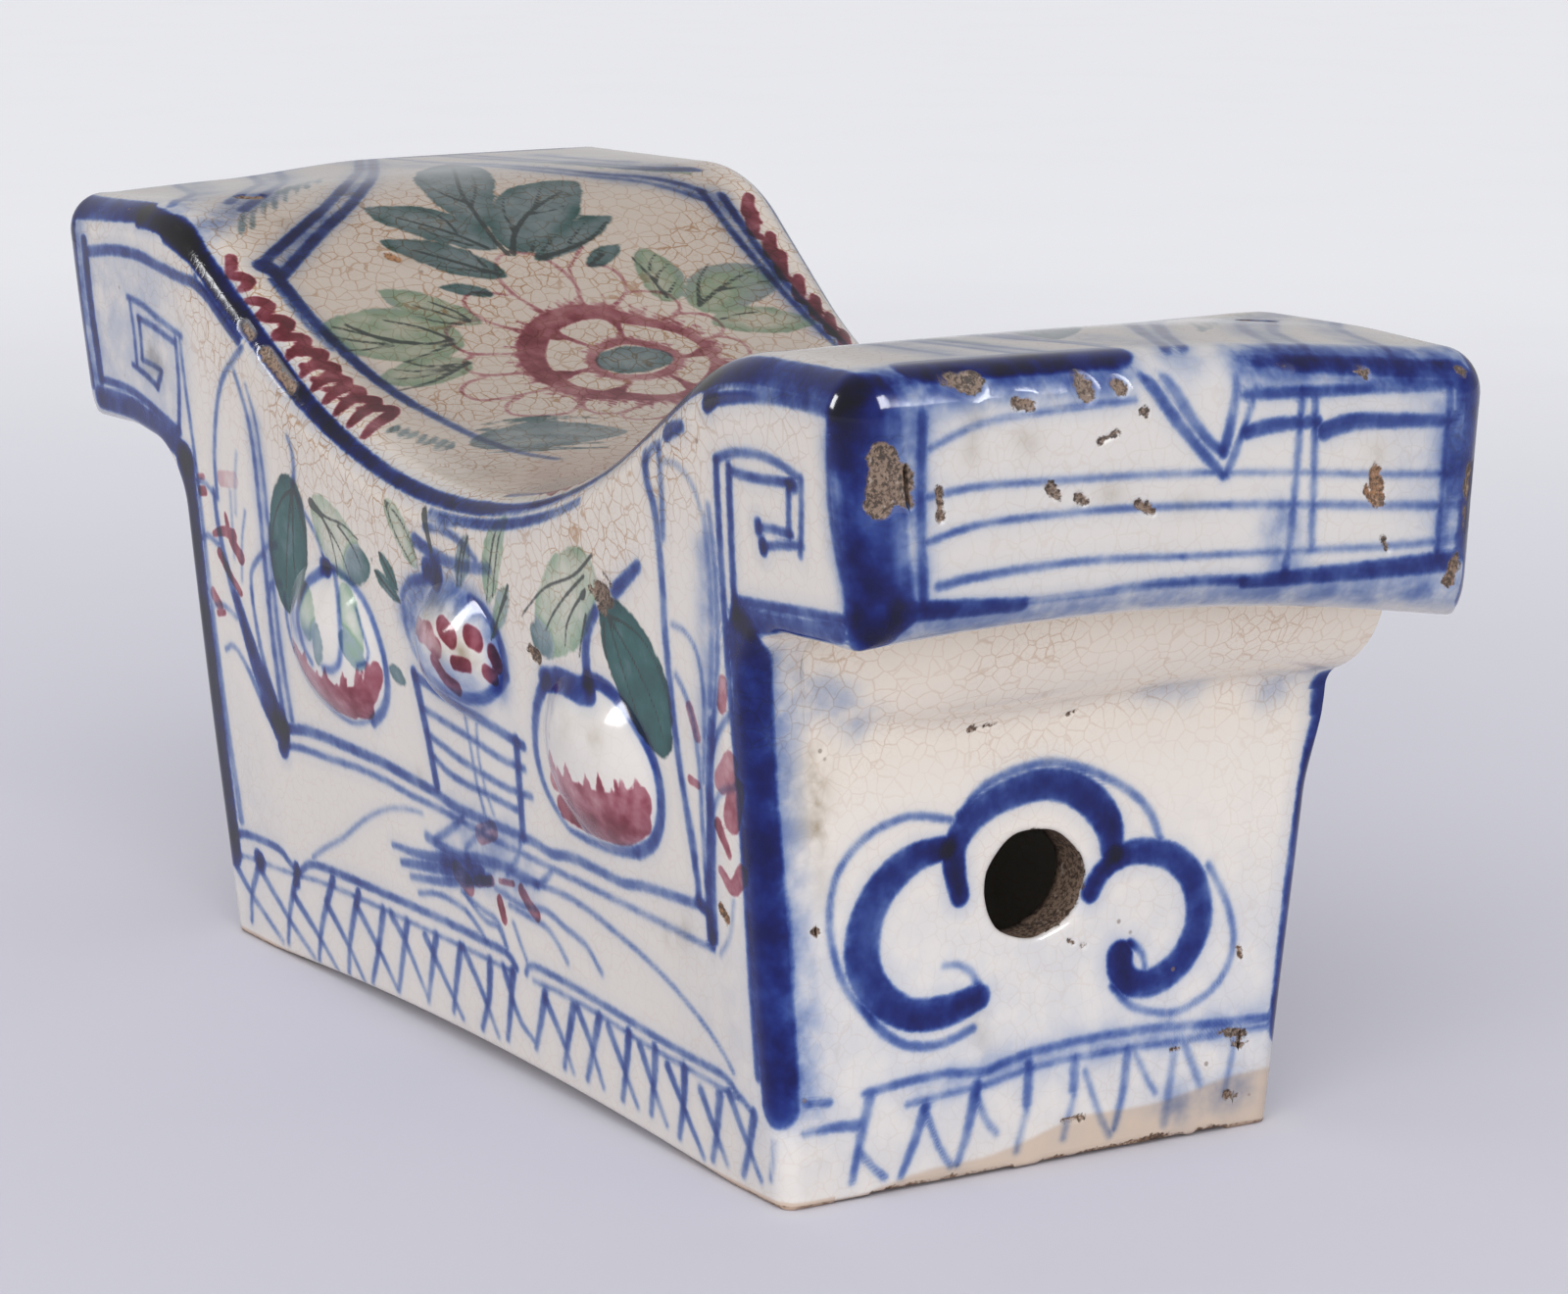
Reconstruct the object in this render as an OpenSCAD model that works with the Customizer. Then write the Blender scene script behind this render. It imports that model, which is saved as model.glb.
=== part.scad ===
// Slab-built ceramic pillow: two leaning profile-cut walls carry a saddle-shaped top slab
// that ends in two overhanging heads. Every slab is a piece of its own, luted edge to edge.
// +X runs along the pillow, -Y is its front, +Z is up, and the foot stands on Z = 0.

/* [Overall] */
// Length over the two heads
length = 292; // [272:1:320]
// Depth of the body at its foot
foot_depth = 94.5; // [84:0.5:110]
// Outward lean of the front and back walls, in degrees
wall_lean = 5.7; // [2:0.1:7]
// Outward lean of the end walls, in degrees
end_lean = 1.8; // [0.5:0.1:3]
// Thickness of the four walls and the two head faces
wall = 9; // [7:0.5:11]
// Thickness of the base slab
base = 8; // [6:0.5:12]

/* [Saddle] */
// Lowest point of the saddle along the front edge
dip_front = 101.5; // [97:0.5:104]
// Lowest point of the saddle along the back edge
dip_back = 106; // [103:0.5:107]
// Radius of the bowl of the saddle along the front edge
bowl_front = 131.5; // [120:0.5:140]
// Radius of the bowl of the saddle along the back edge
bowl_back = 106; // [90:1:110]
// How far the lowest line of the saddle lies to the right of the body's middle
saddle_shift = 6.5; // [-6:0.5:8]
// Steepness of the front edge where it climbs to a head, in degrees
climb_front = 30; // [28:0.5:32]
// Steepness of the back edge where it climbs to a head, in degrees
climb_back = 34.5; // [32:0.5:35]
// Radius of the rounded crest at the top of the front edge's climb
crest_front = 45.5; // [24:0.5:50]
// Radius of the rounded crest at the top of the back edge's climb
crest_back = 38; // [14:1:40]
// Thickness of the top slab at its edges
top_slab = 9; // [8:0.5:11]
// Swell of the top slab across its middle
crown = 1; // [0:0.5:5]
// Roundness of the top slab's outer edge
edge_r = 7; // [3:0.5:7.5]

/* [Heads] */
// How far the left head stands out past the body
left_overhang = 44; // [34:0.5:48]
// How far the right head stands out past the body
right_overhang = 35; // [30:0.5:44]
// Height of the underside of the heads
head_under = 94.5; // [90:0.5:98]
// Height of the heads, measured on the left one along its front edge
head_top = 142; // [140:0.5:144]
// How much higher the left head stands along its back edge
left_rise = 3.5; // [-3:0.5:4]
// How much lower the right head stands along its front edge
right_drop = 5.5; // [0:0.5:6]
// How much lower still the right head stands along its back edge
right_fall = 3; // [-1:0.5:4]
// Roundness of the heads' upright corners
corner_r = 6.5; // [3:0.5:8.5]
// Roundness of the heads' lower edge
low_r = 7; // [3:0.5:8.5]
// Thickness of the slab that floors each head
soffit = 8; // [5:0.5:10]

/* [Mouldings] */
// Radius of the roll under each head
roll_r = 20; // [17:0.5:24]
// How far the roll stands out from the end wall
roll_reach = 13; // [9:0.5:16]
// Radius of the cove that joins a head to the body on the front wall
cove_r = 10; // [4:0.5:14]
// Roundness of the body's upright corners
body_r = 4; // [1:0.5:6]
// Rise of the shallow arch under the front and back walls
foot_arch = 3; // [1:0.5:5]
// Length of the flat foot at each end of a long wall
foot_flat = 17; // [10:1:30]

/* [Vents] */
// Diameter of the firing vent in each end wall
vent_d = 18; // [12:0.5:24]
// Height of the vent's centre
vent_z = 47; // [38:0.5:58]
// Offset of the vent towards the front
vent_offset = 1.5; // [0:0.5:6]

/* [Relief fruit] */
// Width of a peach
peach_w = 39; // [30:0.5:44]
// Height of a peach
peach_h = 30; // [22:0.5:34]
// How far a peach swells from the wall
peach_relief = 5; // [3:0.5:6]
// Width of the pomegranate
pome_w = 31; // [22:0.5:36]
// Height of the pomegranate without its calyx
pome_h = 24; // [16:0.5:28]
// How far the pomegranate swells from the wall
pome_relief = 6; // [3:0.5:6]
// Distance of the left and right peaches from the middle of the body
peach_spread = [41.5, 55.5];
// Height of the left and right peaches above the foot
peach_z = [67.5, 63.5];
// Distance of the pomegranate from the middle of the body
pome_x = 8.5; // [0:0.5:12]
// Height of the pomegranate above the foot
pome_z = 74; // [66:0.5:76]

/* [Luting coils] */
// Radius of the clay coils pressed into the inside corners
coil_r = 7; // [4:0.5:9]

/* [Hidden] */
$fn = 48;

glaze = "ivory";
clay = "tan";
// The body's middle is the origin while the slabs are made, and body_shift then centres the pillow
half_body = (length - left_overhang - right_overhang) / 2;
body_shift = (left_overhang - right_overhang) / 2;
left_end = half_body + left_overhang;
right_end = half_body + right_overhang;
half_foot = half_body - head_under * tan(end_lean);
half_depth = foot_depth / 2;
// Thickness of a leaning wall measured level
wall_y = wall / cos(wall_lean);
wall_x = wall / cos(end_lean);
// Room beyond the pillow for the solids that trim its slabs
reach = 2 * length;
// Spacing of the sections across the saddle, and the rows between the walls
section_step = 6;
inner_rows = 6;
// Places across a rounded edge, as shares of its radius
edge_shares = [0, 0.08, 0.3, 0.6, 1];
arc_steps = 6;
// Tops of the heads along the front and back edges: left, right
left_front = head_top;
left_back = head_top + left_rise;
right_front = head_top - right_drop;
right_back = right_front - right_fall;
front_tops = [left_front, right_front];
back_tops = [left_back, right_back];

// Level positions of the leaning faces at height z
function outer_y(z) = half_depth + z * tan(wall_lean);
function inner_y(z) = outer_y(z) - wall_y;
function outer_x(z) = half_foot + z * tan(end_lean);
function inner_x(z) = outer_x(z) - wall_x;
function mix(a, b, t) = a + (b - a) * t;
function reversed(list) = [for (k = [len(list) - 1:-1:0]) list[k]];
function mirrored(list) = [for (p = reversed(list)) [-p.x, p.y]];
function arc(cx, cz, r, from, to) =
    [for (k = [0:arc_steps]) let (a = mix(from, to, k / arc_steps)) [cx + r * cos(a), cz + r * sin(a)]];

// Height of one edge of the saddle: a bowl, a straight climb, a rounded crest and a level head
function saddle_z(x, dip, bowl, climb, crest, tops) =
    let (ax = abs(x - saddle_shift),
         top = x < saddle_shift ? tops[0] : tops[1],
         bend = 1 - cos(climb),
         run = (top - dip - (bowl + crest) * bend) / sin(climb),
         x_bowl = bowl * sin(climb),
         x_climb = x_bowl + run * cos(climb),
         x_crest = x_climb + crest * sin(climb))
    ax <= x_bowl ? dip + bowl - sqrt(bowl * bowl - ax * ax)
    : ax <= x_climb ? dip + bowl * bend + (ax - x_bowl) * tan(climb)
    : ax <= x_crest ? top - crest + sqrt(crest * crest - (x_crest - ax) * (x_crest - ax))
    : top;
function front_z(x) = saddle_z(x, dip_front, bowl_front, climb_front, crest_front, front_tops);
function back_z(x) = saddle_z(x, dip_back, bowl_back, climb_back, crest_back, back_tops);

// Sections along the saddle, closer together over the rounded ends
left_mid = left_end - corner_r;
right_mid = right_end - corner_r;
mid_count = round((left_mid + right_mid) / section_step);
sections = concat([for (s = edge_shares) s * corner_r - left_end],
                  [for (k = [1:mid_count - 1]) mix(-left_mid, right_mid, k / mid_count)],
                  reversed([for (s = edge_shares) right_end - s * corner_r]));

// Outline of a long wall, seen from the front
function end_outline(coved, end) = concat(
    [[half_foot, 0]],
    coved ? arc(outer_x(head_under - cove_r) + cove_r, head_under - cove_r, cove_r, 180, 90)
          : [[outer_x(head_under), head_under]],
    arc(end - low_r, head_under + low_r, low_r, -90, 0));
function foot_outline() =
    let (half_arch = half_foot - foot_flat)
    [for (k = [-arc_steps:arc_steps]) let (t = k / arc_steps) [half_arch * t, foot_arch * (1 - t * t)]];
function wall_outline(edge, coved) = concat(
    foot_outline(), end_outline(coved, right_end),
    [for (k = [len(sections) - 1:-1:0]) [sections[k], edge[k] - top_slab]],
    mirrored(end_outline(coved, left_end)));

// A prism along X whose sides are lines y = +-f(z), and a prism along Y of an outline in X and Z
module along_x(outline) {
    translate([-reach / 2, 0, 0]) rotate([90, 0, 90]) linear_extrude(reach) polygon(outline);
}
module along_y(outline) {
    translate([0, reach / 2, 0]) rotate([90, 0, 0]) linear_extrude(reach) polygon(outline);
}
module between_walls() {
    along_x([[-inner_y(-wall), -wall], [inner_y(-wall), -wall],
             [inner_y(length), length], [-inner_y(length), length]]);
}
module cavity() {
    intersection() {
        between_walls();
        along_y([[-inner_x(0), 0], [inner_x(0), 0], [inner_x(head_under), head_under],
                 [-inner_x(head_under), head_under]]);
    }
}

// What is taken off a square upright corner to round it, with the corner on the Z axis
module corner_cutter(r, height) {
    translate([0, 0, -wall]) linear_extrude(height + wall) difference() {
        translate([-r, -wall]) square([r + wall, r + wall]);
        translate([-r, r]) circle(r);
        translate([-r - wall, -wall]) square([wall, r + 2 * wall]);
    }
}

// A leaning wall: its outline, its slab with rounded upright ends, and the body's softened corners
module long_wall(edge, coved) {
    difference() {
        intersection() {
            along_y(wall_outline(edge, coved));
            translate([0, -half_depth, 0]) rotate([wall_lean, 0, 0]) translate([0, 0, -wall])
                linear_extrude(length) head_plan();
        }
        for (side = [0, 1]) mirror([side, 0, 0])
            translate([half_foot, -half_depth, 0]) rotate([wall_lean, end_lean, 0])
                corner_cutter(body_r, head_under - (coved ? cove_r : roll_r));
    }
}
module head_plan() {
    intersection() {
        translate([-left_end, 0]) square([length, wall]);
        union() {
            translate([-left_mid, 0]) square([left_mid + right_mid, wall]);
            translate([-left_end, corner_r]) square([length, wall]);
            for (x = [-left_mid, right_mid]) translate([x, corner_r]) circle(corner_r);
        }
    }
}
module front_wall() {
    color(glaze) long_wall([for (x = sections) front_z(x)], true);
}
module back_wall() {
    color(glaze) mirror([0, 1, 0]) long_wall([for (x = sections) back_z(x)], false);
}

// Saddle top: a slab lofted from the front edge to the back edge, with a rounded rim
function rim_drop(gap) = edge_r - sqrt(edge_r * edge_r - pow(edge_r - min(max(gap, 0), edge_r), 2));
function rim_gap(x, y_gap) =
    let (x_gap = min(x + left_end, right_end - x))
    x_gap < corner_r && y_gap < corner_r ? corner_r - norm([corner_r - x_gap, corner_r - y_gap])
    : min(x_gap, y_gap);
function corner_inset(x) =
    let (past = max(-left_mid - x, x - right_mid, 0)) corner_r - sqrt(max(corner_r * corner_r - past * past, 0));
function saddle_section(x) =
    let (zf = front_z(x), zb = back_z(x),
         yf = -outer_y(zf - top_slab), yb = outer_y(zb - top_slab),
         inset = corner_inset(x),
         rim = [for (s = edge_shares) inset + s * (wall_y - inset)],
         rows = concat([for (d = rim) yf + d],
                       [for (k = [1:inner_rows - 1]) mix(yf + wall_y, yb - wall_y, k / inner_rows)],
                       [for (d = reversed(rim)) yb - d]))
    [for (y = rows)
        let (t = min(max((y - yf - wall_y) / (yb - yf - 2 * wall_y), 0), 1),
             z = mix(zf, zb, t))
        [x, y, z - rim_drop(rim_gap(x, min(y - yf, yb - y))) + crown * 4 * t * (1 - t), z - top_slab]];
module saddle_top() {
    grid = [for (x = sections) saddle_section(x)];
    n = len(sections);
    m = len(grid[0]);
    upper = [for (row = grid) for (p = row) [p.x, p.y, p.z]];
    lower = [for (row = grid) for (p = row) [p.x, p.y, p[3]]];
    under = n * m;
    cells = [for (i = [0:n - 2]) for (j = [0:m - 2]) [i * m + j, i * m + j + 1, (i + 1) * m + j + 1, (i + 1) * m + j]];
    rim = concat([for (i = [0:n - 1]) i * m], [for (j = [1:m - 1]) (n - 1) * m + j],
                 [for (i = [n - 2:-1:0]) i * m + m - 1], [for (j = [m - 2:-1:1]) j]);
    color(glaze) polyhedron(concat(upper, lower), concat(
        [for (c = cells) each [[c[0], c[1], c[2]], [c[0], c[2], c[3]]]],
        [for (c = cells) each [[under + c[2], under + c[1], under + c[0]], [under + c[3], under + c[2], under + c[0]]]],
        [for (k = [0:len(rim) - 1]) let (a = rim[k], b = rim[(k + 1) % len(rim)])
            each [[a, b, under + b], [a, under + b, under + a]]]));
}

module base_slab() {
    color(clay) intersection() {
        cavity();
        translate([-reach / 2, -reach / 2, 0]) cube([reach, reach, base]);
    }
}

// End wall with its firing vent, for the right end
module end_wall() {
    difference() {
        intersection() {
            between_walls();
            along_y([[inner_x(0), 0], [outer_x(0), 0],
                     [outer_x(head_under), head_under], [inner_x(head_under), head_under]]);
        }
        translate([0, -vent_offset, vent_z]) rotate([0, 90, 0]) cylinder(h = reach, d = vent_d);
    }
}
module left_end_wall() {
    color(glaze) mirror([1, 0, 0]) end_wall();
}
module right_end_wall() {
    color(glaze) end_wall();
}

// Face that closes the outer end of a head, under the given front and back edge heights
module head_face(front_top, back_top, end) {
    front_y = inner_y(front_top - top_slab);
    back_y = inner_y(back_top - top_slab);
    slope = (back_top - front_top) / (front_y + back_y);
    intersection() {
        between_walls();
        along_x([[-reach, 0], [reach, 0],
                 [reach, back_top - top_slab + slope * (reach - back_y)],
                 [-reach, front_top - top_slab - slope * (reach - front_y)]]);
        translate([0, reach / 2, 0]) rotate([90, 0, 0]) linear_extrude(reach) face_section(end);
    }
}
module face_section(end) {
    translate([end - wall, head_under]) intersection() {
        square([wall, length]);
        union() {
            square([wall - low_r, length]);
            translate([0, low_r]) square([wall, length]);
            translate([wall - low_r, low_r]) circle(low_r);
        }
    }
}
module left_head_face() {
    color(glaze) mirror([1, 0, 0]) head_face(left_front, left_back, left_end);
}
module right_head_face() {
    color(glaze) head_face(right_front, right_back, right_end);
}

// Slab that floors a head, from over the end wall to the head's face
module head_floor(end) {
    intersection() {
        between_walls();
        translate([inner_x(head_under), -reach / 2, head_under])
            cube([end - wall - inner_x(head_under), reach, soffit]);
    }
}
module left_head_floor() {
    color(clay) mirror([1, 0, 0]) head_floor(left_end);
}
module right_head_floor() {
    color(clay) head_floor(right_end);
}

// Roll luted under a head, from behind the front wall to the outer face of the back wall
module roll() {
    intersection() {
        translate([outer_x(head_under) + roll_reach - roll_r, reach / 2, head_under])
            rotate([90, 0, 0]) cylinder(h = reach, r = roll_r);
        along_y([[outer_x(0), 0], [reach, 0], [reach, head_under], [outer_x(head_under), head_under]]);
        along_x([[-inner_y(0), 0], [outer_y(0), 0],
                 [outer_y(length), length], [-inner_y(length), length]]);
    }
}
module left_roll() {
    color(glaze) mirror([1, 0, 0]) roll();
}
module right_roll() {
    color(glaze) roll();
}

// Fruit pressed on a wall: half of a flattened round with a dimple for its stalk
module on_front(x, z) {
    translate([0, -half_depth, 0]) rotate([wall_lean, 0, 0]) translate([x, 0, z / cos(wall_lean)]) children();
}
module fruit(width, height, relief, dimple) {
    intersection() {
        scale([1, 2 * relief / width, height / width]) rotate_extrude($fn = 36)
            intersection() {
                polygon([for (k = [0:2 * arc_steps])
                    let (a = -90 + 180 * k / (2 * arc_steps),
                         r = width / 2 * (1 - dimple * pow(max(sin(a), 0), 6)))
                    [r * cos(a), r * sin(a)]]);
                square([width, 2 * width], center = true);
            }
        translate([-width, -width, -width]) cube([2 * width, width, 2 * width]);
    }
}
module peach(side) {
    on_front((side == 0 ? -1 : 1) * peach_spread[side], peach_z[side]) fruit(peach_w, peach_h, peach_relief, 0.12);
}
module pomegranate() {
    on_front(pome_x, pome_z) fruit(pome_w, pome_h, pome_relief, 0);
}
module on_back() {
    rotate([0, 0, 180]) children();
}
module front_left_peach() {
    color("rosybrown") peach(0);
}
module front_right_peach() {
    color("rosybrown") peach(1);
}
module front_pomegranate() {
    color("lightsteelblue") pomegranate();
}
module back_left_peach() {
    color("rosybrown") on_back() peach(1);
}
module back_right_peach() {
    color("rosybrown") on_back() peach(0);
}
module back_pomegranate() {
    color("lightsteelblue") on_back() pomegranate();
}

// Clay coils pressed into the inside corners, round the base and up the four corners
module coil_space(from, to) {
    intersection() {
        cavity();
        translate([-reach / 2, -reach / 2, from]) cube([reach, reach, to - from]);
    }
}
module long_coil_bar(side) {
    translate([-reach / 2, side * inner_y(base), base]) rotate([0, 90, 0]) cylinder(h = reach, r = coil_r);
}
module end_coil_bar(side) {
    translate([side * inner_x(base), reach / 2, base]) rotate([90, 0, 0]) cylinder(h = reach, r = coil_r);
}
module long_coil(side) {
    color(clay) intersection() {
        coil_space(base, base + coil_r);
        long_coil_bar(side);
    }
}
module end_coil(side) {
    color(clay) difference() {
        intersection() {
            coil_space(base, base + coil_r);
            end_coil_bar(side);
            translate([-reach / 2, -inner_y(base), 0]) cube([reach, 2 * inner_y(base), reach]);
        }
        for (y = [-1, 1]) long_coil_bar(y);
    }
}
module corner_coil(side_x, side_y) {
    color(clay) intersection() {
        coil_space(base + coil_r, head_under - top_slab);
        translate([side_x * inner_x(0), side_y * inner_y(0), 0])
            rotate([-side_y * wall_lean, side_x * end_lean, 0]) cylinder(h = reach, r = coil_r);
    }
}
module front_foot_coil() { long_coil(-1); }
module back_foot_coil() { long_coil(1); }
module left_foot_coil() { end_coil(-1); }
module right_foot_coil() { end_coil(1); }
module front_left_corner_coil() { corner_coil(-1, -1); }
module front_right_corner_coil() { corner_coil(1, -1); }
module back_left_corner_coil() { corner_coil(-1, 1); }
module back_right_corner_coil() { corner_coil(1, 1); }

module shown(name) {
    translate([body_shift, 0, 0]) children();
}
shown("front_wall") front_wall();
shown("back_wall") back_wall();
shown("saddle_top") saddle_top();
shown("base_slab") base_slab();
shown("left_end_wall") left_end_wall();
shown("right_end_wall") right_end_wall();
shown("left_head_face") left_head_face();
shown("right_head_face") right_head_face();
shown("left_head_floor") left_head_floor();
shown("right_head_floor") right_head_floor();
shown("left_roll") left_roll();
shown("right_roll") right_roll();
shown("front_left_peach") front_left_peach();
shown("front_pomegranate") front_pomegranate();
shown("front_right_peach") front_right_peach();
shown("back_left_peach") back_left_peach();
shown("back_pomegranate") back_pomegranate();
shown("back_right_peach") back_right_peach();
shown("front_foot_coil") front_foot_coil();
shown("back_foot_coil") back_foot_coil();
shown("left_foot_coil") left_foot_coil();
shown("right_foot_coil") right_foot_coil();
shown("front_left_corner_coil") front_left_corner_coil();
shown("front_right_corner_coil") front_right_corner_coil();
shown("back_left_corner_coil") back_left_corner_coil();
shown("back_right_corner_coil") back_right_corner_coil();
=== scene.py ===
"""Dressed model of a slab-built ceramic pillow: glazed skins, brush painting, studio floor and camera."""

from __future__ import annotations

import logging
import math
from dataclasses import dataclass, field
from enum import Enum
from typing import Callable, Sequence

import bmesh
import bpy
import numpy as np
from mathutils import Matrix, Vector

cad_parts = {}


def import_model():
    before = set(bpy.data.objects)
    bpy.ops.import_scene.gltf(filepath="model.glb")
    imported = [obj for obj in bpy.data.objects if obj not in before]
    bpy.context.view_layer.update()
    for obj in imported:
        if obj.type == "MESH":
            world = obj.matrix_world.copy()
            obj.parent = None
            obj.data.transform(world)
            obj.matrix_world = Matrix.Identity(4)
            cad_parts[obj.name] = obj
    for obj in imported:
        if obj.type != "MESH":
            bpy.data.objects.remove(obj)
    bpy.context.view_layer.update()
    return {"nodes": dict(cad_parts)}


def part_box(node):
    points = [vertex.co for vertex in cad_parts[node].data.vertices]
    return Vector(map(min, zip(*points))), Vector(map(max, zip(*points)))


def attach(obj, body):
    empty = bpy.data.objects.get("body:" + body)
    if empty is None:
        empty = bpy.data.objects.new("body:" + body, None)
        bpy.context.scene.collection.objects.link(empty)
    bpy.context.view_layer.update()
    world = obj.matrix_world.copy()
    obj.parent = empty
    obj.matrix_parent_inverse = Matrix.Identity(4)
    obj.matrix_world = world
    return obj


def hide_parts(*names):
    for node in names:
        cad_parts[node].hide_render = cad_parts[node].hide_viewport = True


LOG = logging.getLogger("pillow")
MM = 0.001
Array = np.ndarray
Pair = tuple[float, float]
Run = float | tuple[float, ...]


def smooth(low: float, high: float, value: Array) -> Array:
    """Ease from 0 where the value is low to 1 where it is high."""
    t = np.clip((value - low) / (high - low), 0.0, 1.0)
    return t * t * (3.0 - 2.0 * t)


def spread(value: Run, share: Array) -> Array:
    """Spread one number, or a run of numbers, along a path."""
    run = value if isinstance(value, tuple) else (value,)
    return np.interp(share, np.linspace(0, 1, len(run)), run) if len(run) > 1 else run[0] + 0 * share


class Face(Enum):
    """Painted faces of the pillow, each with its own pair of flat coordinates."""

    FRONT = "front"
    BACK = "back"
    RIGHT_END = "right end"
    LEFT_END = "left end"
    RIGHT_HEAD = "right head"
    LEFT_HEAD = "left head"
    TOP = "top"
    TOP_TURNED = "top, turned half round"


@dataclass(frozen=True)
class Form:
    """Sizes of the pillow in millimetres and radians, the same as the solids have."""

    length: float = 292.0
    left_overhang: float = 44.0
    right_overhang: float = 35.0
    foot_depth: float = 94.5
    wall_lean: float = math.radians(5.7)
    end_lean: float = math.radians(1.8)
    wall: float = 9.0
    dips: Pair = (101.5, 106.0)
    bowls: Pair = (131.5, 106.0)
    climbs: Pair = (math.radians(30.0), math.radians(34.5))
    crests: Pair = (45.5, 38.0)
    saddle_shift: float = 6.5
    top_slab: float = 9.0
    crown: float = 1.0
    edge_r: float = 7.0
    head_under: float = 94.5
    front_tops: Pair = (142.0, 136.5)
    back_tops: Pair = (145.5, 133.5)
    corner_r: float = 6.5
    low_r: float = 7.0
    cove_r: float = 10.0
    body_r: float = 4.0
    foot_arch: float = 3.0
    foot_flat: float = 17.0
    roll_r: float = 20.0
    roll_reach: float = 13.0
    vent_r: float = 9.0
    vent_z: float = 47.0
    vent_y: float = -1.5
    paint_mid: float = 6.0
    paint_slant: float = 0.0145
    end_shift: float = 1.25
    eye: tuple = (668.58, -386.99, 214.97)

    @property
    def half_body(self) -> float:
        """Half the body's length just under the heads."""
        return (self.length - self.left_overhang - self.right_overhang) / 2

    @property
    def body_mid(self) -> float:
        """Place of the body's middle along the pillow."""
        return (self.left_overhang - self.right_overhang) / 2

    @property
    def wall_y(self) -> float:
        """Thickness of a leaning wall measured level."""
        return self.wall / math.cos(self.wall_lean)

    def outer_y(self, z: Array) -> Array:
        """Distance of a long wall's outer face from the middle plane at height z."""
        return self.foot_depth / 2 + np.asarray(z) * math.tan(self.wall_lean)

    def inner_y(self, z: Array) -> Array:
        """Distance of a long wall's inner face from the middle plane at height z."""
        return self.outer_y(z) - self.wall_y

    def half_x(self, z: Array) -> Array:
        """Distance of an end wall's outer face from the body's middle at height z."""
        return self.half_body - (self.head_under - np.asarray(z)) * math.tan(self.end_lean)

    def foot_z(self, x: Array) -> Array:
        """Height of the shallow arch under a long wall."""
        half = self.half_x(0.0) - self.foot_flat
        return self.foot_arch * np.maximum(1 - ((x - self.body_mid) / half) ** 2, 0.0)

    def edge_z(self, x: Array, side: int) -> Array:
        """Height of the saddle's front or back edge.

        Args:
            x: Places along the pillow.
            side: -1 for the front edge, 1 for the back one.

        Returns:
            Heights: a bowl, a straight climb, a rounded crest and a level head.
        """
        pick = 0 if side < 0 else 1
        dip, bowl, climb, crest = self.dips[pick], self.bowls[pick], self.climbs[pick], self.crests[pick]
        tops = self.front_tops if side < 0 else self.back_tops
        from_mid = np.asarray(x, float) - self.body_mid - self.saddle_shift
        away = np.abs(from_mid)
        top = np.where(from_mid < 0, tops[0], tops[1])
        bend = 1 - math.cos(climb)
        run = (top - dip - (bowl + crest) * bend) / math.sin(climb)
        bowl_x = bowl * math.sin(climb)
        climb_x = bowl_x + run * math.cos(climb)
        crest_x = climb_x + crest * math.sin(climb)
        low = dip + bowl - np.sqrt(bowl ** 2 - np.minimum(away, bowl_x) ** 2)
        slope = dip + bowl * bend + (away - bowl_x) * math.tan(climb)
        over = np.clip(crest_x - away, 0, crest)
        high = top - crest + np.sqrt(crest ** 2 - over ** 2)
        return np.where(away <= bowl_x, low, np.where(away <= climb_x, slope, high))

    def edge_y(self, x: Array, side: int) -> Array:
        """Place across the pillow of the saddle's front (-1) or back (1) edge."""
        return side * self.outer_y(self.edge_z(x, side) - self.top_slab)

    def ruled(self, x: Array, y: Array, crown: bool) -> Array:
        """Height of the lofted top.

        Args:
            x: Places along the pillow.
            y: Places across it.
            crown: Whether the swell across the middle is added.

        Returns:
            Heights of the loft from the front edge to the back edge.
        """
        front, back = self.edge_z(x, -1), self.edge_z(x, 1)
        y0, y1 = self.edge_y(x, -1) + self.wall_y, self.edge_y(x, 1) - self.wall_y
        t = np.clip((y - y0) / (y1 - y0), 0, 1)
        return front + (back - front) * t + (self.crown * 4 * t * (1 - t) if crown else 0.0)

    def place(self, face: Face, flat: Array) -> Array:
        """Put flat brush coordinates on a face.

        Args:
            face: The face that is painted.
            flat: Points as (x, z), (y, z) or (x, y), with x from the middle of the painting.

        Returns:
            The points in the pillow's frame.
        """
        a, b = flat[:, 0], flat[:, 1]
        if face is Face.FRONT:
            return np.stack([a + self.paint_mid + self.paint_slant * b, -self.outer_y(b), b], 1)
        if face is Face.BACK:
            out = -(a + self.paint_mid + self.paint_slant * b - self.body_mid)
            past = np.maximum(np.abs(out) - self.half_body, 0.0)
            longer = self.left_overhang / self.right_overhang
            out = out + np.sign(out) * past * np.where(out < 0, longer - 1, 1 / longer - 1)
            return np.stack([out + self.body_mid, self.outer_y(b), b], 1)
        if face is Face.RIGHT_END:
            return np.stack([self.body_mid + self.half_x(b), a - self.end_shift, b], 1)
        if face is Face.LEFT_END:
            return np.stack([self.body_mid - self.half_x(b), self.end_shift - a, b], 1)
        if face in (Face.RIGHT_HEAD, Face.LEFT_HEAD):
            end = 1 if face is Face.RIGHT_HEAD else -1
            left, right = (top - self.head_under for top in self.front_tops)
            taller = 1.0 if end > 0 else left / right
            high = self.head_under + (b - self.head_under) * taller
            at = np.stack([np.full_like(a, end * self.length / 2), end * (a - self.end_shift), high], 1)
            at[:, 2] -= self.settle(at)[:, 2] - high
            return at
        at = self.cast(a + self.paint_mid, b)
        turn = 1 if face is Face.TOP else -1
        x, y = self.body_mid + turn * (at[:, 0] - self.body_mid), turn * at[:, 1]
        return np.stack([x, y, self.ruled(x, y, True)], 1)

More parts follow.
